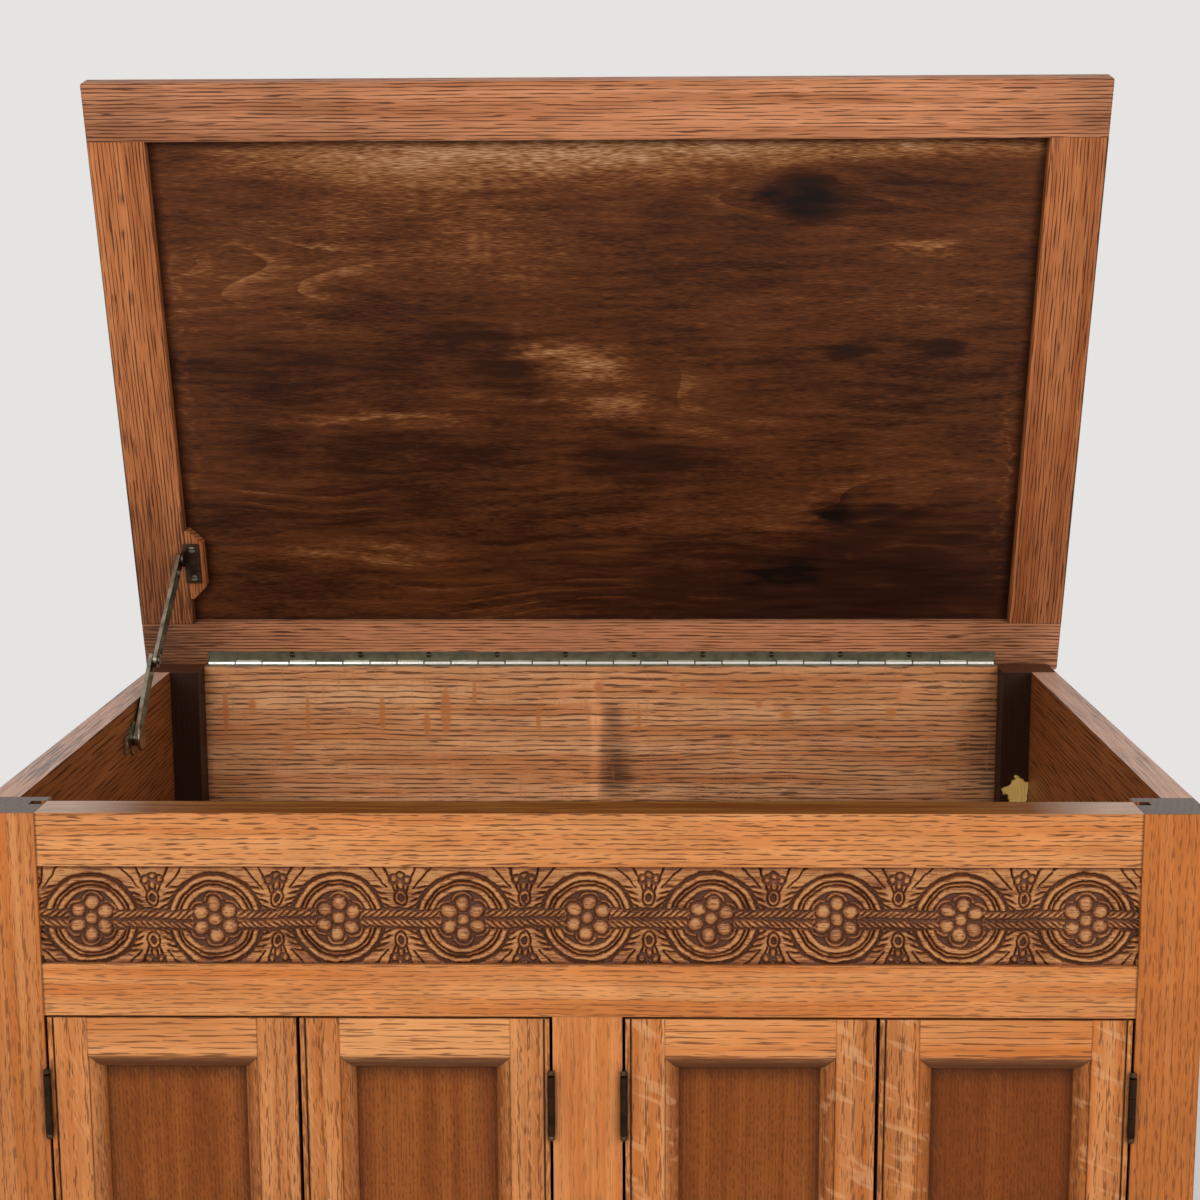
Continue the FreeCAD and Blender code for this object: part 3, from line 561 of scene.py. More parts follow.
def metal(name, base, roughness, dull=0.8, leaf=None):
    """Plated or bronzed steel: a metal whose colour is broken by cloudy tarnish and rubbed bright on its
    edges. With a leaf colour, only what lies close round the lid's axis keeps the base colour; the leaf
    colour is tarnish and a painted reflection of the dark inside of the coffer, and the dark lines between
    the knuckles are painted shade in their gaps."""
    sizes = bpy.context.scene.coffer_fittings
    material, tree, shader = new_material(name)
    place = add(tree, "TexCoord", result="Object")
    shade = base
    if leaf is not None:
        from_axis = vector(tree, "SUBTRACT", place, LID_AXIS)
        from_axis = vector(tree, "MULTIPLY", from_axis, (0.0, 1.0, 1.0))
        from_axis = vector(tree, "LENGTH", from_axis)
        flat = mapped(tree, from_axis, 2.4 * MM, 2.7 * MM)
        # Dark lines between the knuckles: painted shade in their gaps
        low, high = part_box("piano_hinge_back_leaf")
        joint = add(tree, "SeparateXYZ", (place,), result="X")
        joint = maths(tree, "SUBTRACT", joint, low.x)
        joint = maths(tree, "PINGPONG", joint, (high.x - low.x) / (2 * KNUCKLES))
        joint = mapped(tree, joint, 0.9 * MM, 0.4 * MM, 0.0, 0.85)
        shade = mix(tree, joint, shade, sizes.tarnish)
        shade = mix(tree, flat, shade, leaf)
        roughness = mapped(tree, flat, 0.0, 1.0, roughness, 0.55)
    cloud = add(tree, "TexNoise", {"Vector": place, "Scale": 1 / (11 * MM), "Detail": 4.0})
    dull = mapped(tree, cloud, 0.42, 0.7, 0.0, dull)
    if leaf is not None:
        dull = maths(tree, "MULTIPLY", dull, flat)
    shade = mix(tree, dull, shade, sizes.tarnish)
    soft, edges = edge_wear(tree, 0.5 * MM)
    bright = maths(tree, "MULTIPLY", edges, 0.4)
    shade = mix(tree, bright, shade, base)
    rough = maths(tree, "MULTIPLY_ADD", dull, 0.18, roughness)
    connect(tree, shader, {"Base Color": shade, "Roughness": rough, "Normal": soft, "Metallic": 1.0})
    return material


def carved_oak():
    """Carved oak with dark polish rubbed off its tops: the colour follows the height of the carving and how
    far a point lies below its surroundings, and the pores of the board run through it. The dark in the
    recesses and in the bands along the top and bottom edges is old polish and painted shade, and the bands
    are also the painted shadow of the rails."""
    tones = bpy.context.scene.coffer_frieze
    material, tree, shader = new_material("oak_carved_dark_polish")
    level = add(tree, "Attribute", result="Fac", attribute_name="relief")
    # How far a point lies below its surroundings, and the edge bands: old polish and painted shade
    sunk = add(tree, "Attribute", result="Fac", attribute_name="dark_build_up_and_shade")
    level = maths(tree, "SUBTRACT", level, sunk)
    place = add(tree, "TexCoord", result="Object")
    # Length and height, the stretch of the noise that shows, and what it takes off the level
    patterns = {
        "pores": ((11 * MM, 0.9 * MM), (0.53, 0.66), -0.40),
        "fibre": ((30 * MM, 1.2 * MM), (0.35, 0.65), -0.14),
        "polish": ((26 * MM, 12 * MM), (0.35, 0.70), -0.28),
    }
    for (along, across), (low, high), strength in patterns.values():
        stretched = add(tree, "Mapping", {"Vector": place, "Scale": (1 / along, 1 / across, 1 / across)})
        noise = add(tree, "TexNoise", {"Vector": stretched, "Scale": 1.0, "Detail": 1.5})
        noise = mapped(tree, noise, low, high, 0.0, strength)
        level = maths(tree, "ADD", level, noise)
    polish = ramp(tree, level, (0.08, tones.ground), (0.42, tones.middle), (0.74, tones.high))
    connect(tree, shader, {"Base Color": polish, "Roughness": 0.40, "Specular IOR Level": 0.3})
    return material


def dome(distance, radius):
    """A parabola over a disc: 1 in the middle, 0 from the radius outwards."""
    return np.clip(1 - (distance / radius) ** 2, 0, None)


def band(value, low, high):
    """A raised band with rounded shoulders between two values."""
    return dome(value - (low + high) / 2, (high - low) / 2) ** 0.4


def step(value, width):
    """A ramp from 0 to 1 over a width."""
    return np.clip(value / width, 0, 1)


# Raised rings of a roundel: inner and outer radius in millimetres, and height
RINGS = ((18.8, 22.9, 0.90), (23.4, 25.1, 0.80), (25.9, 29.7, 0.95))
# Veins on each side of a leaf, in millimetres: how far up they start, how far out, and their slope
VEINS = ((17.0, 3.0, 0.40), (21.0, 8.5, 0.85))
# Buds at the tip of a leaf, in millimetres: how far out and up, half their width and half their height
BUDS = ((0.0, 29.4, 2.4, 2.2), (4.6, 26.8, 2.2, 2.6), (0.0, 22.6, 1.9, 3.4))


def frieze_heights(x, z, pitch, sizes):
    """Height of the carving over a grid in millimetres, from 0 at the ground to 1 at the top of the relief.

    Each roundel is a boss and six petals, folded onto one petal by the bearing, inside three raised rings.
    A rope of slanted strokes crosses the rings at mid height. Between roundels a broad leaf is cut by
    notches along its edges, by two veins on each side and by an eye, and buds stand at its tip. Small shifts
    of each roundel and a slow wander of all lines come from a seeded draw, as from a chisel."""
    draw = np.random.default_rng(9)
    half = (sizes.count - 1) // 2
    rope_half, reach = sizes.rope_half / MM, sizes.petal_reach / MM
    nearest = np.clip(np.rint(x / pitch), -half, half).astype(int)
    shift_x, shift_z, grow, turn = draw.normal(0, 1, (4, sizes.count))[:, nearest + half]
    wander_x = 12 * blurred(draw.normal(0, 1, (z.size, x.size)), 18)
    wander_z = 12 * blurred(draw.normal(0, 1, (z.size, x.size)), 18)
    x = x + wander_x
    across = x - nearest * pitch - 0.3 * shift_x
    upward = z + sizes.drop / MM + wander_z - 0.3 * shift_z
    radius = np.hypot(across, upward) / (1 + 0.008 * grow)
    bearing = np.arctan2(across, upward) + math.radians(4) * turn
    sixth = math.pi / 3
    fold = (bearing + sixth / 2) % sixth - sixth / 2
    outward = radius * np.cos(fold) - reach
    petal = np.hypot(radius * np.sin(fold), 0.92 * outward)
    boss = 0.90 * dome(radius, 4.8) ** 0.5
    rosette = np.maximum(boss, 0.95 * dome(petal, sizes.petal_radius / MM) ** 0.5)
    crescent = 0.66 * band(petal, 5.4, 7.6) * step(outward - 0.2 * petal, 1.0) * (radius < 18.4)
    rings = np.maximum.reduce([top * band(radius, inner, outer) for inner, outer, top in RINGS])

    rise = np.abs(upward)
    phase = (x - 1.2 * rise) / (sizes.rope_pitch / MM) % 1
    rope = np.maximum(0.2, 0.85 * band(rise, 0.3, rope_half) * band(phase, 0.04, 0.96))
    on_rope = (rise < rope_half + 0.4) & (radius > 15.2)

    middle = np.abs((x / pitch) % 1 - 0.5) * pitch
    gap = radius - 30.9
    leaf = 0.85 * (step(gap, 1.8) * step(rise - rope_half - 0.6, 1.2)) ** 0.5
    arc = np.arctan2(rise, np.abs(across)) * 31.0
    notch = band((arc + 0.9 * gap) / (sizes.notch_pitch / MM) % 1, 0.30, 0.70) * step(7.0 - gap, 3.0)
    notch *= 1 - step(rise - 21.0, 5.0)
    veins = np.maximum.reduce([dome(middle - out - slope * (rise - start), 0.7) * (rise > start)
                               for start, out, slope in VEINS])
    leaf *= 1 - 0.8 * np.maximum(notch, veins)
    for bud_x, bud_z, wide, tall in BUDS:
        bud = np.hypot((middle - bud_x) / wide, (rise - bud_z) / tall)
        leaf = np.where(bud < 1.45, np.maximum(0.30, 0.85 * dome(bud, 1.05) ** 0.5), leaf)
    eye = np.hypot(middle, 0.7 * (rise - 14.4))
    leaf = np.where(eye < 4.4, np.maximum(0.30 * (eye > 3.5), 0.85 * band(eye, 1.7, 3.7)), leaf)

    height = np.maximum.reduce([np.full(radius.shape, 0.15), rosette, crescent, rings, leaf])
    height = np.where(on_rope, rope, height)
    chatter = blurred(draw.normal(0, 1, height.shape), 6) * 13
    return height + 0.03 * chatter


def blurred(values, reach):
    """Mean over a square of 2 x reach + 1 points, by running sums along both axes."""
    for axis in (0, 1):
        edge = [(reach + 1, reach) if a == axis else (0, 0) for a in (0, 1)]
        total = np.cumsum(np.pad(values, edge, mode="edge"), axis=axis)
        span = 2 * reach + 1
        upper = np.take(total, np.arange(span, total.shape[axis]), axis=axis)
        lower = np.take(total, np.arange(0, total.shape[axis] - span), axis=axis)
        values = (upper - lower) / span
    return values


def mesh_piece(name, points, faces, material, body):
    """A new piece from points and faces, that rides on a body."""
    mesh = bpy.data.meshes.new(name)
    mesh.from_pydata(points.tolist(), [], [list(face) for face in faces])
    mesh.polygons.foreach_set("use_smooth", np.ones(len(mesh.polygons), dtype=bool))
    mesh.set_sharp_from_angle(angle=math.radians(50))
    mesh.materials.append(material)
    piece = bpy.data.objects.new(name, mesh)
    bpy.context.scene.collection.objects.link(piece)
    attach(piece, body)
    return piece


def relief_block(x, z, front, back):
    """A closed block whose front is a surface over the grid x by z and whose back is flat."""
    rows, columns = front.shape
    grid = np.arange(rows * columns).reshape(rows, columns)
    across, upward = np.broadcast_to(x, front.shape), np.broadcast_to(z[:, None], front.shape)
    face = np.stack([across, front, upward], axis=-1)
    border = np.concatenate([grid[0, :-1], grid[:-1, -1], grid[-1, :0:-1], grid[:0:-1, 0]])
    rim = face.reshape(-1, 3)[border].copy()
    rim[:, 1] = back
    hub = np.array([[x.mean(), back, z.mean()]])
    points = np.concatenate([face.reshape(-1, 3), rim, hub])
    behind = rows * columns + np.arange(len(border))
    quads = np.stack([grid[:-1, :-1], grid[:-1, 1:], grid[1:, 1:], grid[1:, :-1]], axis=-1).reshape(-1, 4)
    walls = np.stack([border, behind, np.roll(behind, -1), np.roll(border, -1)], axis=-1)
    fan = np.stack([np.roll(behind, -1), behind, np.full(len(border), len(points) - 1)], axis=-1)
    return points, [*quads.tolist(), *walls.tolist(), *fan.tolist()]


def spun(profile, sectors, centres, axis, shape=None):
    """Pieces turned on a lathe: a profile of (radius, height) rows from one pole to the other, carried
    round the axis at each centre. The first and last rows are single points on the axis. A shape, if
    given, moves the points of one piece before they are copied."""
    bearing = np.linspace(0, 2 * math.pi, sectors, endpoint=False)
    inner = np.array(profile[1:-1], dtype=float)
    rings = np.stack([inner[:, :1] * np.cos(bearing), inner[:, :1] * np.sin(bearing),
                      np.broadcast_to(inner[:, 1:], (len(inner), sectors))], axis=-1)
    if shape is not None:
        rings = shape(rings)
    poles = np.array([[0, 0, profile[0][1]], [0, 0, profile[-1][1]]], dtype=float)
    if shape is not None:
        poles = shape(poles)
    one = np.concatenate([poles[:1], rings.reshape(-1, 3), poles[1:]])
    turn = np.array(Vector((0, 0, 1)).rotation_difference(Vector(axis)).to_matrix())
    points = (one @ turn.T)[None] + np.array(centres)[:, None]
    index = 1 + np.arange(len(inner) * sectors).reshape(len(inner), sectors)
    after = np.roll(index, -1, axis=1)
    last = len(one) - 1
    quads = np.stack([index[:-1], after[:-1], after[1:], index[1:]], axis=-1).reshape(-1, 4)
    first_fan = np.stack([np.zeros(sectors, int), after[0], index[0]], axis=-1)
    last_fan = np.stack([np.full(sectors, last), index[-1], after[-1]], axis=-1)
    faces = []
    for copy in range(len(centres)):
        offset = copy * len(one)
        faces += (quads + offset).tolist() + (first_fan + offset).tolist() + (last_fan + offset).tolist()
    return points.reshape(-1, 3), faces


def opened(point):
    """Where a point of the shut lid is in the frame, whose lid is open."""
    return LID_AXIS + Matrix.Rotation(-LID_OPENING, 3, "X") @ (Vector(point) - LID_AXIS)


def lid_bottom():
    """The height of the shut lid's underside, as far above the axis as the back board lies below it."""
    return 2 * LID_AXIS.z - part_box("back_top_board")[1].z


def lid_inward():
    """The way the underside of the open lid faces."""
    return opened(LID_AXIS - Vector((0, 0, 1))) - LID_AXIS


def screw_heads(name, centres, axis, body, material):
    """Slotted countersunk heads: a shallow dome on a disc, lowered along a slot across its middle."""
    sizes = bpy.context.scene.coffer_fittings
    radius, proud = sizes.screw_diameter / 2, sizes.screw_proud
    sink, half_slot, slot_depth = -0.6 * MM, 0.5 * MM, 0.55 * MM
    share = np.linspace(0, 1, 10)
    profile = [(radius * s, proud * (1 - 0.6 * s ** 2)) for s in share] + [(radius, sink), (0.0, sink)]

    def slotted(points):
        lowered = points.copy()
        in_slot = (np.abs(points[..., 1]) < half_slot) & (points[..., 2] > 0)
        lowered[..., 2] -= in_slot * slot_depth
        return lowered

    points, faces = spun(profile, 32, centres, axis, slotted)
    return mesh_piece(name, points, faces, material, body)


class COFFER_OT_front_frame(bpy.types.Operator):
    """Finish the posts, rails and muntin of the front in light waxed oak"""
    bl_idname = "coffer.front_frame"
    bl_label = "Front Frame"

    def execute(self, context):
        tones = context.scene.coffer_oak
        ends = [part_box("left_front_post")[1].x / MM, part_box("right_front_post")[0].x / MM]
        # Spots: a dark line where a rail meets each post, painted shade in the joint, and a broad darkening
        # of each post
        joints = [(end, 0, 1.3, 60, -1.0) for end in ends]
        darkening = [(-100, 0, 400, 80, -0.34)]
        # Grey end grain on the post tops, with patches of grey wear and painted sheen
        grey_top = (tones.end_grain, tones.top_grey_and_sheen, tones.end_grain)
        for hand, bias, rings in (("left", 0.35, 1.6), ("right", 0.75, 1.1)):
            node = hand + "_front_post"
            low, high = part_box(node)
            # The dark core of a front post is painted shade on its faces deeper than the skin, those of its
            # slots and grooves
            core = (low + Vector((SKIN, SKIN, 0.0)), high - Vector((SKIN, 0.0, 0.1 * MM)), tones.edge, 1.0)
            finish_oak(node, "Z", "front", bias=bias, rings=rings, pores=0.6, top=grey_top, core=core,
                       marks=darkening)
        finish_oak("front_muntin", "Z", "front", bias=0.45, rings=1.8, pores=0.35)
        # The rail's top: brown with golden streaks, and grey ends of wear and painted sheen
        brown_top = (tones.rail_top, tones.rail_gold, tones.rail_end_grey_and_sheen)
        for node, bias, pores, top in (("front_top_rail", 0.0, 0.8, brown_top),
                                       ("front_middle_rail", 0.15, 0.6, None),
                                       ("front_bottom_rail", 0.1, 0.7, None)):
            finish_oak(node, "X", "front", bias=bias, pores=pores, pore_length=12.0, rings=0.74, crowd=0.2,
                       wave=5.0, top=top, marks=joints)
        return {"FINISHED"}


class COFFER_OT_frieze(bpy.types.Operator):
    """Carve the frieze: nine blocks in one run, a roundel each"""
    bl_idname = "coffer.frieze"
    bl_label = "Carved Frieze"

    def execute(self, context):
        sizes = context.scene.coffer_frieze
        low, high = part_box("frieze_panel")
        rail_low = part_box("front_middle_rail")[1].z
        rail_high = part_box("front_top_rail")[0].z
        middle = (rail_low + rail_high) / 2
        half_height = (rail_high - rail_low) / 2
        half_width = high.x
        outer = half_height - sizes.edge_margin
        pitch = 2 * (half_width - sizes.end_margin - outer) / (sizes.count - 1)
        x = np.linspace(-half_width, half_width, int(2 * half_width / sizes.step))
        z = np.linspace(-half_height, half_height, int(2 * half_height / sizes.step))
        heights = blurred(frieze_heights(x[None, :] / MM, z[:, None] / MM, pitch / MM, sizes), 1)
        heights = np.clip(heights, 0, 1)
        # Darker where a point lies below its surroundings and along the top and bottom edges: old polish and
        # painted shade, the edge bands also the painted shadow of the rails
        dark_build_up_and_shade = np.clip(0.8 * (blurred(heights, 4) - heights), 0, 0.4)
        dark_build_up_and_shade = np.maximum(dark_build_up_and_shade, 0.45 * step(np.abs(z) - half_height + 3.5 * MM, 3 * MM)[:, None])
        surface = low.y + sizes.depth * (1 - heights)
        bounds = [-half_width, *((np.arange(1, sizes.count) - sizes.count / 2) * pitch), half_width]
        cuts = np.searchsorted(x, bounds)
        cuts[-1] = len(x) - 1
        material = carved_oak()
        for number in range(sizes.count):
            part = slice(cuts[number], cuts[number + 1] + 1)
            points, faces = relief_block(x[part], z + middle, surface[:, part], high.y)
            name = "carved_frieze_%d" % (number + 1)
            block = mesh_piece(name, points, faces, material, "carcass")
            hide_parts("frieze_panel")
            for layer, values in (("relief", heights[:, part]), ("dark_build_up_and_shade", dark_build_up_and_shade[:, part])):
                flat = np.zeros(len(points), dtype=np.float32)
                flat[:values.size] = values.ravel()
                block.data.attributes.new(layer, "FLOAT", "POINT").data.foreach_set("value", flat)
        return {"FINISHED"}


# Rays in the stiles of the doors: fine flecks in the left pair, broad slanted flakes in the right pair
FINE_RAYS = {"rays": 0.2}
BROAD_RAYS = {"rays": 0.36, "ray_size": (26.0, 6.0), "ray_slant": 1.1}
# For each door: how much its left and right stiles are darker than the rest of the front, the rays in its
# stiles, how far its rails and its panel lean to the deep colour, and the strength of the panel's rays
DOORS = {
    "door_1": ((0.0, -0.32), FINE_RAYS, 0.0, 0.1, 0.6),
    "door_2": ((-0.20, -0.18), FINE_RAYS, -0.4, 0.0, 0.25),
    "door_3": ((-0.1, -0.28), BROAD_RAYS, 0.1, 0.1, 0.25),
    "door_4": ((-0.36, -0.16), BROAD_RAYS, 0.3, 0.7, 0.25),
}
# Width of the moulding round a door's panel, and how deep the panel sits in its groove, in millimetres
MOULDING, TONGUE = 9.5, 6.0
# From what shows of a panel to the middle of the moulding's dark line, painted shade on the moulding, and of
# a stile, in millimetres
SHADE_LINE_OUT, STILE_OUT = 4.0, 27.0


class COFFER_OT_doors(bpy.types.Operator):
    """Finish the four doors and turn their knobs"""
    bl_idname = "coffer.doors"
    bl_label = "Doors"

    def execute(self, context):
        for name, (tints, stile_rays, rail_bias, panel_bias, panel_rays) in DOORS.items():
            low, high = self.opening(name)
            middle = sum(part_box(name + "_stiles"), Vector()) / 2
            marks = []
            for edge, out, tint in ((low.x, -MM, tints[0]), (high.x, MM, tints[1])):
                # A dark line on each side moulding: painted shade
                marks.append((0, (middle.x - edge - SHADE_LINE_OUT * out) / MM, 900, 5.2, -0.62))
                marks.append((0, (middle.x - edge - STILE_OUT * out) / MM, 900, 13, tint))
            # In these calls, 12 and 24 millimetres are how far the painted shade in the corners reaches
            finish_oak(name + "_stiles", "Z", "front", bias=0.15, rings=1.6, pores=0.7, wave=1.5,
                       marks=marks, rich=0.8, corner_shade_reach=12.0, **stile_rays)
            middle = sum(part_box(name + "_rails"), Vector()) / 2
            # A dark line on the top moulding, the painted shadow of the rail above it, and a weaker one on
            # the bottom moulding: painted shade
            marks = [(0, (high.z - middle.z) / MM + SHADE_LINE_OUT + 0.5, 400, 5.4, -1.4),
                     (0, (low.z - middle.z) / MM - SHADE_LINE_OUT, 400, 5.2, -0.85)]
            finish_oak(name + "_rails", "X", "front", bias=rail_bias, pore_length=20.0, wave=1.5, crowd=0.17,
                       marks=marks, corner_shade_reach=12.0)
            finish_oak(name + "_panel", "Z", "panel", bias=panel_bias, pores=0.55, pore_length=4.0,
                       crowd=0.20, rings=0.6, rays=panel_rays, marks=self.darker_border(name), corner_shade_reach=24.0, gloss=0.15)
            self.turn_knob(name, finish_oak(name + "_knob", "Y", "panel"))
        return {"FINISHED"}

    def opening(self, name):
        """The corners of what shows of a panel, whose edge a moulding and a groove hide."""
        low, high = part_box(name + "_panel")
        hidden = Vector((1.0, 0.0, 1.0)) * (MOULDING + TONGUE) * MM
        return low + hidden, high - hidden

    def darker_border(self, name):
        """Spots that darken a panel along its edges, most at the top."""
        low, high = self.opening(name)
        tall, wide = (high.z - low.z) / 2 / MM, (high.x - low.x) / 2 / MM
        return [(tall, 0, 9, 3 * wide, -0.7), (-tall, 0, 9, 3 * wide, -0.5),
                (0, wide, 3 * tall, 6, -0.5), (0, -wide, 3 * tall, 6, -0.5)]

    def turn_knob(self, name, material):
        """A knob whose radius, from the door to its crown, is a foot, a waist and a rounded head."""
        low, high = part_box(name + "_knob")
        reach, head = high.y - low.y, (high.x - low.x) / 2
        t = np.linspace(0, 1, 40)
        foot = 0.68 * np.exp(-(t / 0.13) ** 2)
        crown = np.sqrt(np.clip(1 - ((t - 0.66) / 0.34) ** 2, 0, 1))
        radius = head * np.maximum(np.maximum(foot, 0.44 * (t < 0.8)), crown)
        radius[-1] = 0.0
        profile = [(0.0, 0.0), *zip(radius, t * reach)]
        centre = ((low.x + high.x) / 2, high.y, (low.z + high.z) / 2)
        points, faces = spun(profile, 48, [centre], (0, -1, 0))
        piece = mesh_piece(name + "_turned_knob", points, faces, material, name)
        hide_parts(name + "_knob")


# Marks on the back board, as spots: a pale stripe up the middle with a dark stain beside it, and darker ends
# that are the painted shadow of the rear posts
BACK_MARKS = [
    (-4, 10, 5, 75, 0.42), (12, 32, 9, 12, -0.65), (13, -16, 16, 34, -0.85), (60, -15, 50, 26, -0.26),
    (-230, 35, 60, 14, -0.12), (-90, 30, 40, 16, -0.12), (210, 25, 70, 20, -0.12),
    (170, -20, 150, 50, -0.16), (170, -44, 110, 20, -0.26), (348, 0, 22, 70, -0.55),
    (-335, -40, 40, 14, -0.25),
]
# Ray flakes on the back board, as spots: upright ones at the left, short ones at the right
BACK_FLAKES = [
    (-336, 36, 4, 30, 0.9), (-312, 42, 6, 11, 0.8), (-262, 31, 3, 28, 0.9), (-280, 3, 10, 12, 0.7),
    (-195, 33, 4, 23, 0.9), (-155, 25, 4, 14, 1.0), (-138, 37, 6, 27, 1.0), (-112, 53, 3, 16, 0.9),
    (-55, 31, 3, 17, 0.9), (-1, 58, 7, 8, 0.8), (35, 28, 3, 14, 0.8), (74, 60, 4, 6, 0.8),
    (108, 59, 6, 7, 0.8), (142, 44, 5, 6, 0.8), (167, 35, 9, 8, 0.8), (201, 38, 10, 6, 0.8),
    (260, 36, 8, 7, 0.8), (324, 36, 9, 6, 0.7),
]
# The plain boards of the carcass, with the way that their grain runs
PLAIN_BOARDS = {
    "left_bottom_rail": "Y", "right_bottom_rail": "Y", "left_side_panel": "Z", "right_side_panel": "Z",
    "back_bottom_rail": "X", "back_panel": "Z", "coffer_floor": "X", "cupboard_floor": "X",
    "coffer_floor_ledgers": "X", "cupboard_floor_ledgers": "X", "centre_partition": "Z", "door_stops": "X",
}


class COFFER_OT_carcass(bpy.types.Operator):
    """Finish the sides, the back, the floors and the strips inside"""
    bl_idname = "coffer.carcass"
    bl_label = "Sides, Back and Floors"

    def execute(self, context):
        tones = context.scene.coffer_oak
        # Pinkish and grey top edges of the sides: wear, with a painted sheen
        sheen_and_wear = (tones.top_wear_and_sheen, tones.top_grey_and_sheen, tones.top_wear_and_sheen)
        for hand in ("left", "right"):
            finish_oak(hand + "_top_board", "Y", "side", pores=0.9, pore_length=40.0, rings=0.9, crowd=0.22,
                       wave=2.0, top=sheen_and_wear)
            self.rear_post(hand + "_rear_post")
        finish_oak("back_top_board", "X", "back", pores=0.8, pore_length=26.0, rings=1.05, crowd=0.25,
                   wave=9.0, rays=0.3, ray_size=(3.6, 24.0), ray_slant=0.0, flakes=BACK_FLAKES,
                   marks=BACK_MARKS, core=self.rear_face(tones))
        for node, grain in PLAIN_BOARDS.items():
            finish_oak(node, grain, "side")
        return {"FINISHED"}

    def rear_post(self, node):
        """Brown oak outside and nearly black where the post faces the coffer: a dark stain with painted
        shade of the coffer's inside, and a dark top with painted shade under the lid. A chip on the right
        one.
        """
        tones = bpy.context.scene.coffer_oak
        low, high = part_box(node)
        inward = SKIN if low.x < 0 else -SKIN
        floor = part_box("coffer_floor")[1].z
        first = Vector((low.x + inward, low.y - 1 * MM, floor))
        second = Vector((high.x + inward, high.y - SKIN, high.z - 0.1 * MM))
        # Near-black core and dark top: a stain with painted shade of the coffer's inside and of the lid
        # above
        material = finish_oak(node, "Z", "side", bias=0.5, top=(tones.edge, tones.black, tones.edge),
                              core=(first, second, tones.black, 0.96))
        if low.x > 0:
            chip(material, (low.x + 16 * MM, low.y, floor + 16 * MM), 11 * MM, 15 * MM)

    def rear_face(self, tones):
        """The back of the figured board, stained brown as the rest of the chest's back."""
        low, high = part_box("back_top_board")
        return Vector((low.x, high.y - 2 * MM, low.z)), high, tones.side_deep, 0.75


# Marks on the frame of the lid, as spots: burnt ends of the front rail and old nail holes in a stile
LID_MARKS = {
    "lid_front_rail": [(-390, 0, 50, 40, -0.30), (-150, -18, 120, 9, -0.16), (398, 0, 20, 40, -0.25),
                       (-250, 0, 150, 60, -0.14), (110, 0, 230, 60, 0.22)],
    "lid_rear_rail": [(-400, 0, 55, 60, -0.95), (-310, 0, 70, 60, -0.26), (365, 0, 70, 60, -0.45)],
    "lid_left_stile": [(167, 0, 5, 2.5, -0.7), (138, 2, 4, 2, -0.5), (84, 0, 6, 2.5, -0.7),
                       (84, 14, 4, 2, -0.5), (-260, 0, 175, 200, -0.8)],
    "lid_right_stile": [(-260, 0, 175, 200, -0.3)],
    "stay_block": [(0, 0, 60, 30, -0.2)],
}
# The pieces of the lid's frame: the way of the grain, the kind of oak and its lean to the deep colour
LID_FRAME = {
    "lid_front_rail": ("X", "lid", 0.0),
    "lid_rear_rail": ("X", "lid", -0.5),
    "lid_left_stile": ("Z", "stile", 0.0),
    "lid_right_stile": ("Z", "stile", 0.25),
    "stay_block": ("Z", "stile", 0.0),
}


class COFFER_OT_lid(bpy.types.Operator):
    """Finish the frame of the lid, its plywood panel and the block under the stay"""
    bl_idname = "coffer.lid"
    bl_label = "Lid"

    def execute(self, context):
        for node, (grain, kind, bias) in LID_FRAME.items():
            finish_oak(node, grain, kind, tilt=LID_TILT, bias=bias, pores=0.85, pore_length=30.0, rings=0.7,
                       crowd=0.23, wave=5.0, marks=LID_MARKS[node] + self.outline(node))
        finish_ply("lid_panel")
        return {"FINISHED"}

    def outline(self, node):
        """A thin dark line along the outer edge of a stile, as a spot."""
        low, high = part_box(node)
        outer = (high.x - low.x) / 2 / MM - 0.6
        return {"lid_left_stile": [(0, outer, 900, 1.2, -1.0)],
                "lid_right_stile": [(0, -outer, 900, 1.2, -1.0)]}.get(node, [])


class COFFER_OT_piano_hinge(bpy.types.Operator):
    """Plate the piano hinge and drive its screws"""
    bl_idname = "coffer.piano_hinge"
    bl_label = "Piano Hinge"

    def execute(self, context):
        sizes = context.scene.coffer_fittings
        for node, shine in (("piano_hinge_back_leaf", 0.16), ("piano_hinge_lid_leaf", 0.24),
                            ("piano_hinge_pin", 0.20)):
            plated = metal("steel_nickel_plated_" + node, sizes.nickel, shine, dull=0.5, leaf=sizes.leaf)
            finish(node, plated)
        low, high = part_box("piano_hinge_back_leaf")
        board_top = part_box("back_top_board")[1].z
        middle = (low.y + LID_AXIS.y) / 2 - 3 * MM
        each_side = int(high.x / sizes.screw_pitch)
        along = (np.arange(-each_side, each_side) + 0.5) * sizes.screw_pitch
        steel = metal("steel_screw_tarnished", sizes.screw_dark, 0.45)
        back = [(x, middle, board_top) for x in along]
        screw_heads("piano_hinge_back_screws", back, (0, 0, 1), "carcass", steel)
        lid = [opened((x, middle, lid_bottom())) for x in along]
        screw_heads("piano_hinge_lid_screws", lid, lid_inward(), "lid", steel)
        return {"FINISHED"}


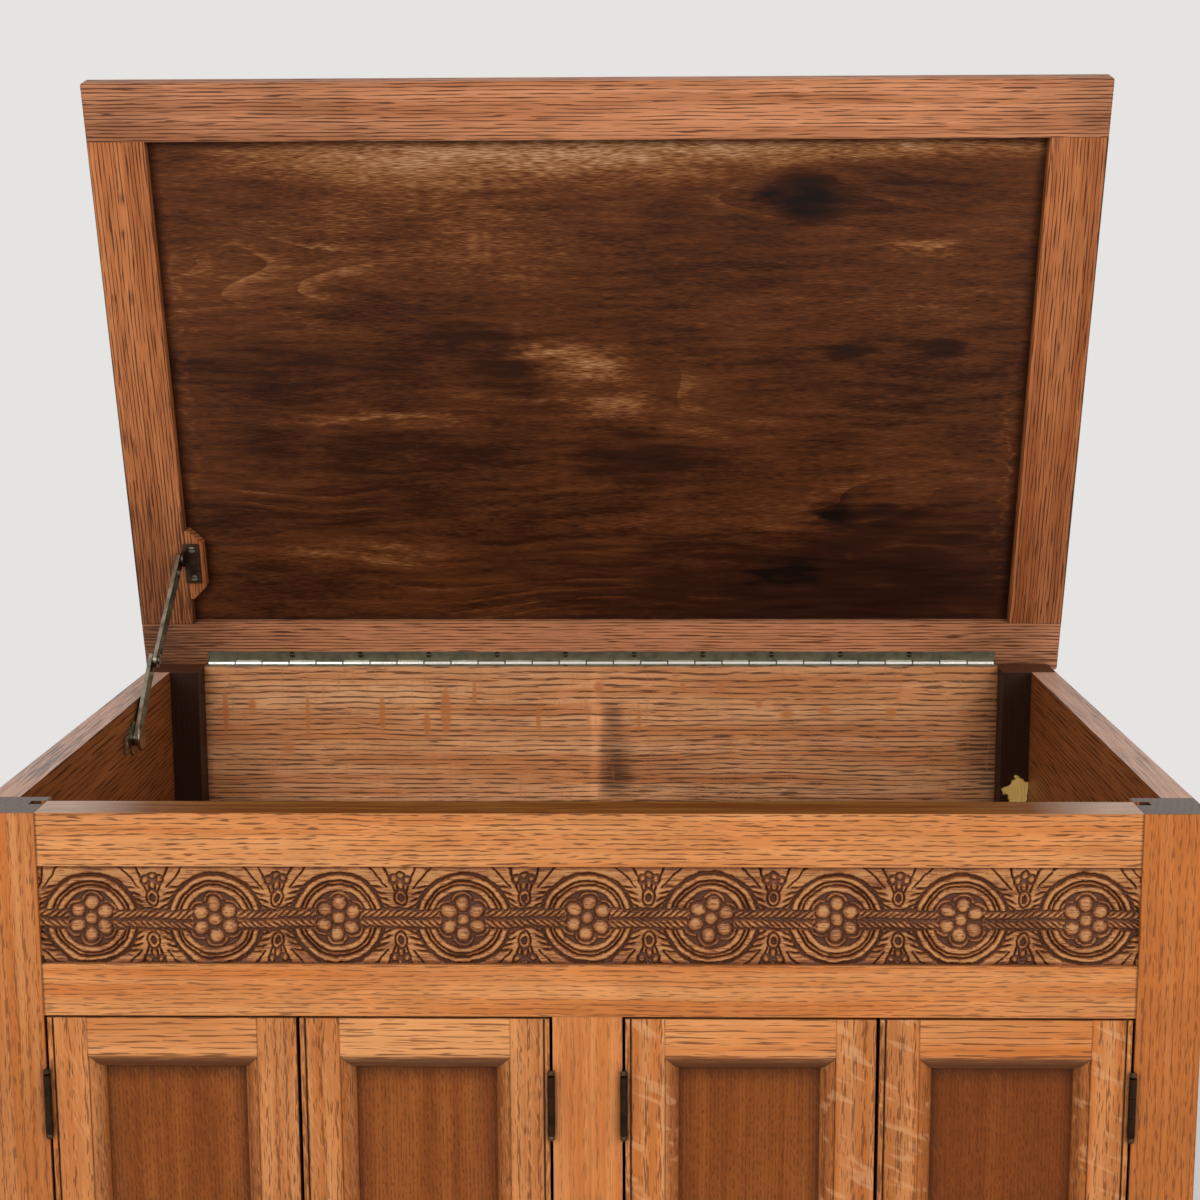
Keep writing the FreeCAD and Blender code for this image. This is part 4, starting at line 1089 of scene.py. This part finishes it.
class COFFER_OT_stay(bpy.types.Operator):
    """Finish the folding stay in brown-grey bronzed steel and drive its screws"""
    bl_idname = "coffer.stay"
    bl_label = "Folding Stay"

    def execute(self, context):
        sizes = context.scene.coffer_fittings
        bronze = metal("steel_bronzed_stay", sizes.bronze, 0.28, dull=0.6)
        steel = metal("steel_screw_rubbed", sizes.screw_steel, 0.40)
        for node in ("stay_side_plate", "stay_lower_bar", "stay_upper_bar"):
            finish(node, bronze)
        finish("stay_lid_bracket", metal("steel_bronzed_bracket", sizes.dark_bronze, 0.40))
        low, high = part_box("stay_side_plate")
        face = low.x + 1.5 * MM
        height = (low.z + high.z) / 2
        centres = [(face, y, height) for y in (low.y + 6 * MM, high.y - 6 * MM)]
        screw_heads("stay_plate_screws", centres, (1, 0, 0), "carcass", steel)
        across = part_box("stay_lid_bracket")[1].x - 6 * MM
        along = LID_AXIS.y - sizes.bracket_reach
        places = (along - sizes.bracket_pitch / 2, along + sizes.bracket_pitch / 2)
        centres = [opened((across, y, lid_bottom() - 1.5 * MM)) for y in places]
        screw_heads("stay_bracket_screws", centres, lid_inward(), "lid", steel)
        return {"FINISHED"}


class COFFER_OT_butt_hinges(bpy.types.Operator):
    """Finish the butt hinges of the doors in dark bronze"""
    bl_idname = "coffer.butt_hinges"
    bl_label = "Butt Hinges"

    def execute(self, context):
        sizes = context.scene.coffer_fittings
        brown = metal("steel_lacquered_brown", sizes.brown_bronze, 0.38)
        nodes = ["door_%d_hinge_leaves" % number for number in range(1, 5)]
        for node in (*nodes, "door_hinge_fixed_leaves"):
            finish(node, brown)
        finish("door_hinge_pins", metal("steel_bronzed_dark", sizes.dark_bronze, 0.34))
        return {"FINISHED"}


class COFFER_OT_stage(bpy.types.Operator):
    """Set the floor, the lamps, the background and the camera"""
    bl_idname = "coffer.stage"
    bl_label = "Stage"

    def execute(self, context):
        scene = context.scene
        studio = scene.coffer_stage
        scene.view_settings.view_transform = "Standard"
        self.lay_floor(scene, studio)
        self.light_world(scene, studio)
        self.hang_lamp(scene, "lamp_left", (-1.5, -2.6, 2.1), 1.6, studio.key)
        self.hang_lamp(scene, "lamp_right", (1.7, -2.4, 1.8), 1.4, studio.side)
        self.hang_lamp(scene, "lamp_rear", (0.0, 2.8, 1.2), 1.2, studio.rear)
        self.place_camera(scene, studio)
        return {"FINISHED"}

    def lay_floor(self, scene, studio):
        """A disc that fades into the background, so that no horizon shows."""
        profile = [(0.0, 0.0), (1.0, 0.0), (2.6, 0.0), (0.0, -2 * MM)]
        points, faces = spun(profile, 96, [(0, 0, 0)], (0, 0, 1))
        mesh = bpy.data.meshes.new("floor")
        mesh.from_pydata(points.tolist(), [], faces)
        floor = bpy.data.objects.new("floor", mesh)
        scene.collection.objects.link(floor)
        material, tree, shader = new_material("floor_matt_pale")
        connect(tree, shader, {"Base Color": rgba(studio.floor), "Roughness": 0.9})
        flat = vector(tree, "MULTIPLY", add(tree, "TexCoord", result="Object"), (1.0, 1.0, 0.0))
        reach = vector(tree, "LENGTH", flat)
        fade = eased(tree, reach, 1.0, 2.3)
        clear = add(tree, "BsdfTransparent")
        blend = add(tree, "MixShader", (fade, shader.outputs[0], clear))
        tree.links.new(blend, tree.nodes["Material Output"].inputs["Surface"])
        mesh.materials.append(material)

    def light_world(self, scene, studio):
        """The background is seen directly and in gloss; other rays get the even fill."""
        world = bpy.data.worlds.new("studio")
        world.use_nodes = True
        tree = world.node_tree
        path = add(tree, "LightPath").node
        seen = maths(tree, "MAXIMUM", path.outputs["Is Camera Ray"], path.outputs["Is Glossy Ray"])
        seen = maths(tree, "MAXIMUM", seen, path.outputs["Is Transmission Ray"])
        fill = add(tree, "Background", {"Color": (1, 1, 1, 1), "Strength": studio.fill})
        view = add(tree, "Background", {"Color": rgba(studio.backdrop), "Strength": 1.0})
        blend = add(tree, "MixShader", (seen, fill, view))
        tree.links.new(blend, tree.nodes["World Output"].inputs["Surface"])
        scene.world = world

    def hang_lamp(self, scene, name, place, size, watts):
        data = bpy.data.lights.new(name, "AREA")
        data.size = size
        data.energy = watts
        lamp = bpy.data.objects.new(name, data)
        lamp.location = place
        aim = Vector((0.0, 0.0, 0.75)) - Vector(place)
        lamp.rotation_euler = aim.to_track_quat("-Z", "Y").to_euler()
        scene.collection.objects.link(lamp)

    def place_camera(self, scene, studio):
        data = bpy.data.cameras.new("camera")
        data.sensor_width = 36.0
        data.lens = studio.lens
        camera = bpy.data.objects.new("camera", data)
        yaw, pitch = studio.camera_yaw, studio.camera_pitch
        ahead = Vector((math.sin(yaw) * math.cos(pitch), math.cos(yaw) * math.cos(pitch), -math.sin(pitch)))
        right = Vector((math.cos(yaw), -math.sin(yaw), 0.0))
        up = right.cross(ahead)
        axes = Matrix((right, up, -ahead)).transposed() @ Matrix.Rotation(-studio.camera_roll, 3, "Z")
        camera.matrix_world = Matrix.Translation(studio.camera_place) @ axes.to_4x4()
        scene.collection.objects.link(camera)
        scene.camera = camera


PROPERTIES = {"coffer_oak": OakFinish, "coffer_ply": PlyFinish, "coffer_frieze": FriezeCarving,
              "coffer_fittings": Fittings, "coffer_stage": StudioStage}
OPERATORS = (COFFER_OT_front_frame, COFFER_OT_frieze, COFFER_OT_doors, COFFER_OT_carcass, COFFER_OT_lid,
             COFFER_OT_piano_hinge, COFFER_OT_stay, COFFER_OT_butt_hinges, COFFER_OT_stage)


class COFFER_PT_sidebar(bpy.types.Panel):
    """Sizes, colours and steps of the coffer"""
    bl_idname = "COFFER_PT_sidebar"
    bl_label = "Oak Coffer Chest"
    bl_space_type = "VIEW_3D"
    bl_region_type = "UI"
    bl_category = "Coffer"

    def draw(self, context):
        for holder, group in PROPERTIES.items():
            box = self.layout.box()
            for name in group.__annotations__:
                box.prop(getattr(context.scene, holder), name)
        for operator in OPERATORS:
            self.layout.operator(operator.bl_idname)


CLASSES = (*PROPERTIES.values(), *OPERATORS, COFFER_PT_sidebar)


def register():
    for item in CLASSES:
        bpy.utils.register_class(item)
    for holder, group in PROPERTIES.items():
        setattr(bpy.types.Scene, holder, PointerProperty(type=group))


def unregister():
    for holder in PROPERTIES:
        delattr(bpy.types.Scene, holder)
    for item in reversed(CLASSES):
        bpy.utils.unregister_class(item)


def main():
    register()
    for operator in OPERATORS:
        group, name = operator.bl_idname.split(".")
        getattr(getattr(bpy.ops, group), name)()


if __name__ == "__main__":
    main()
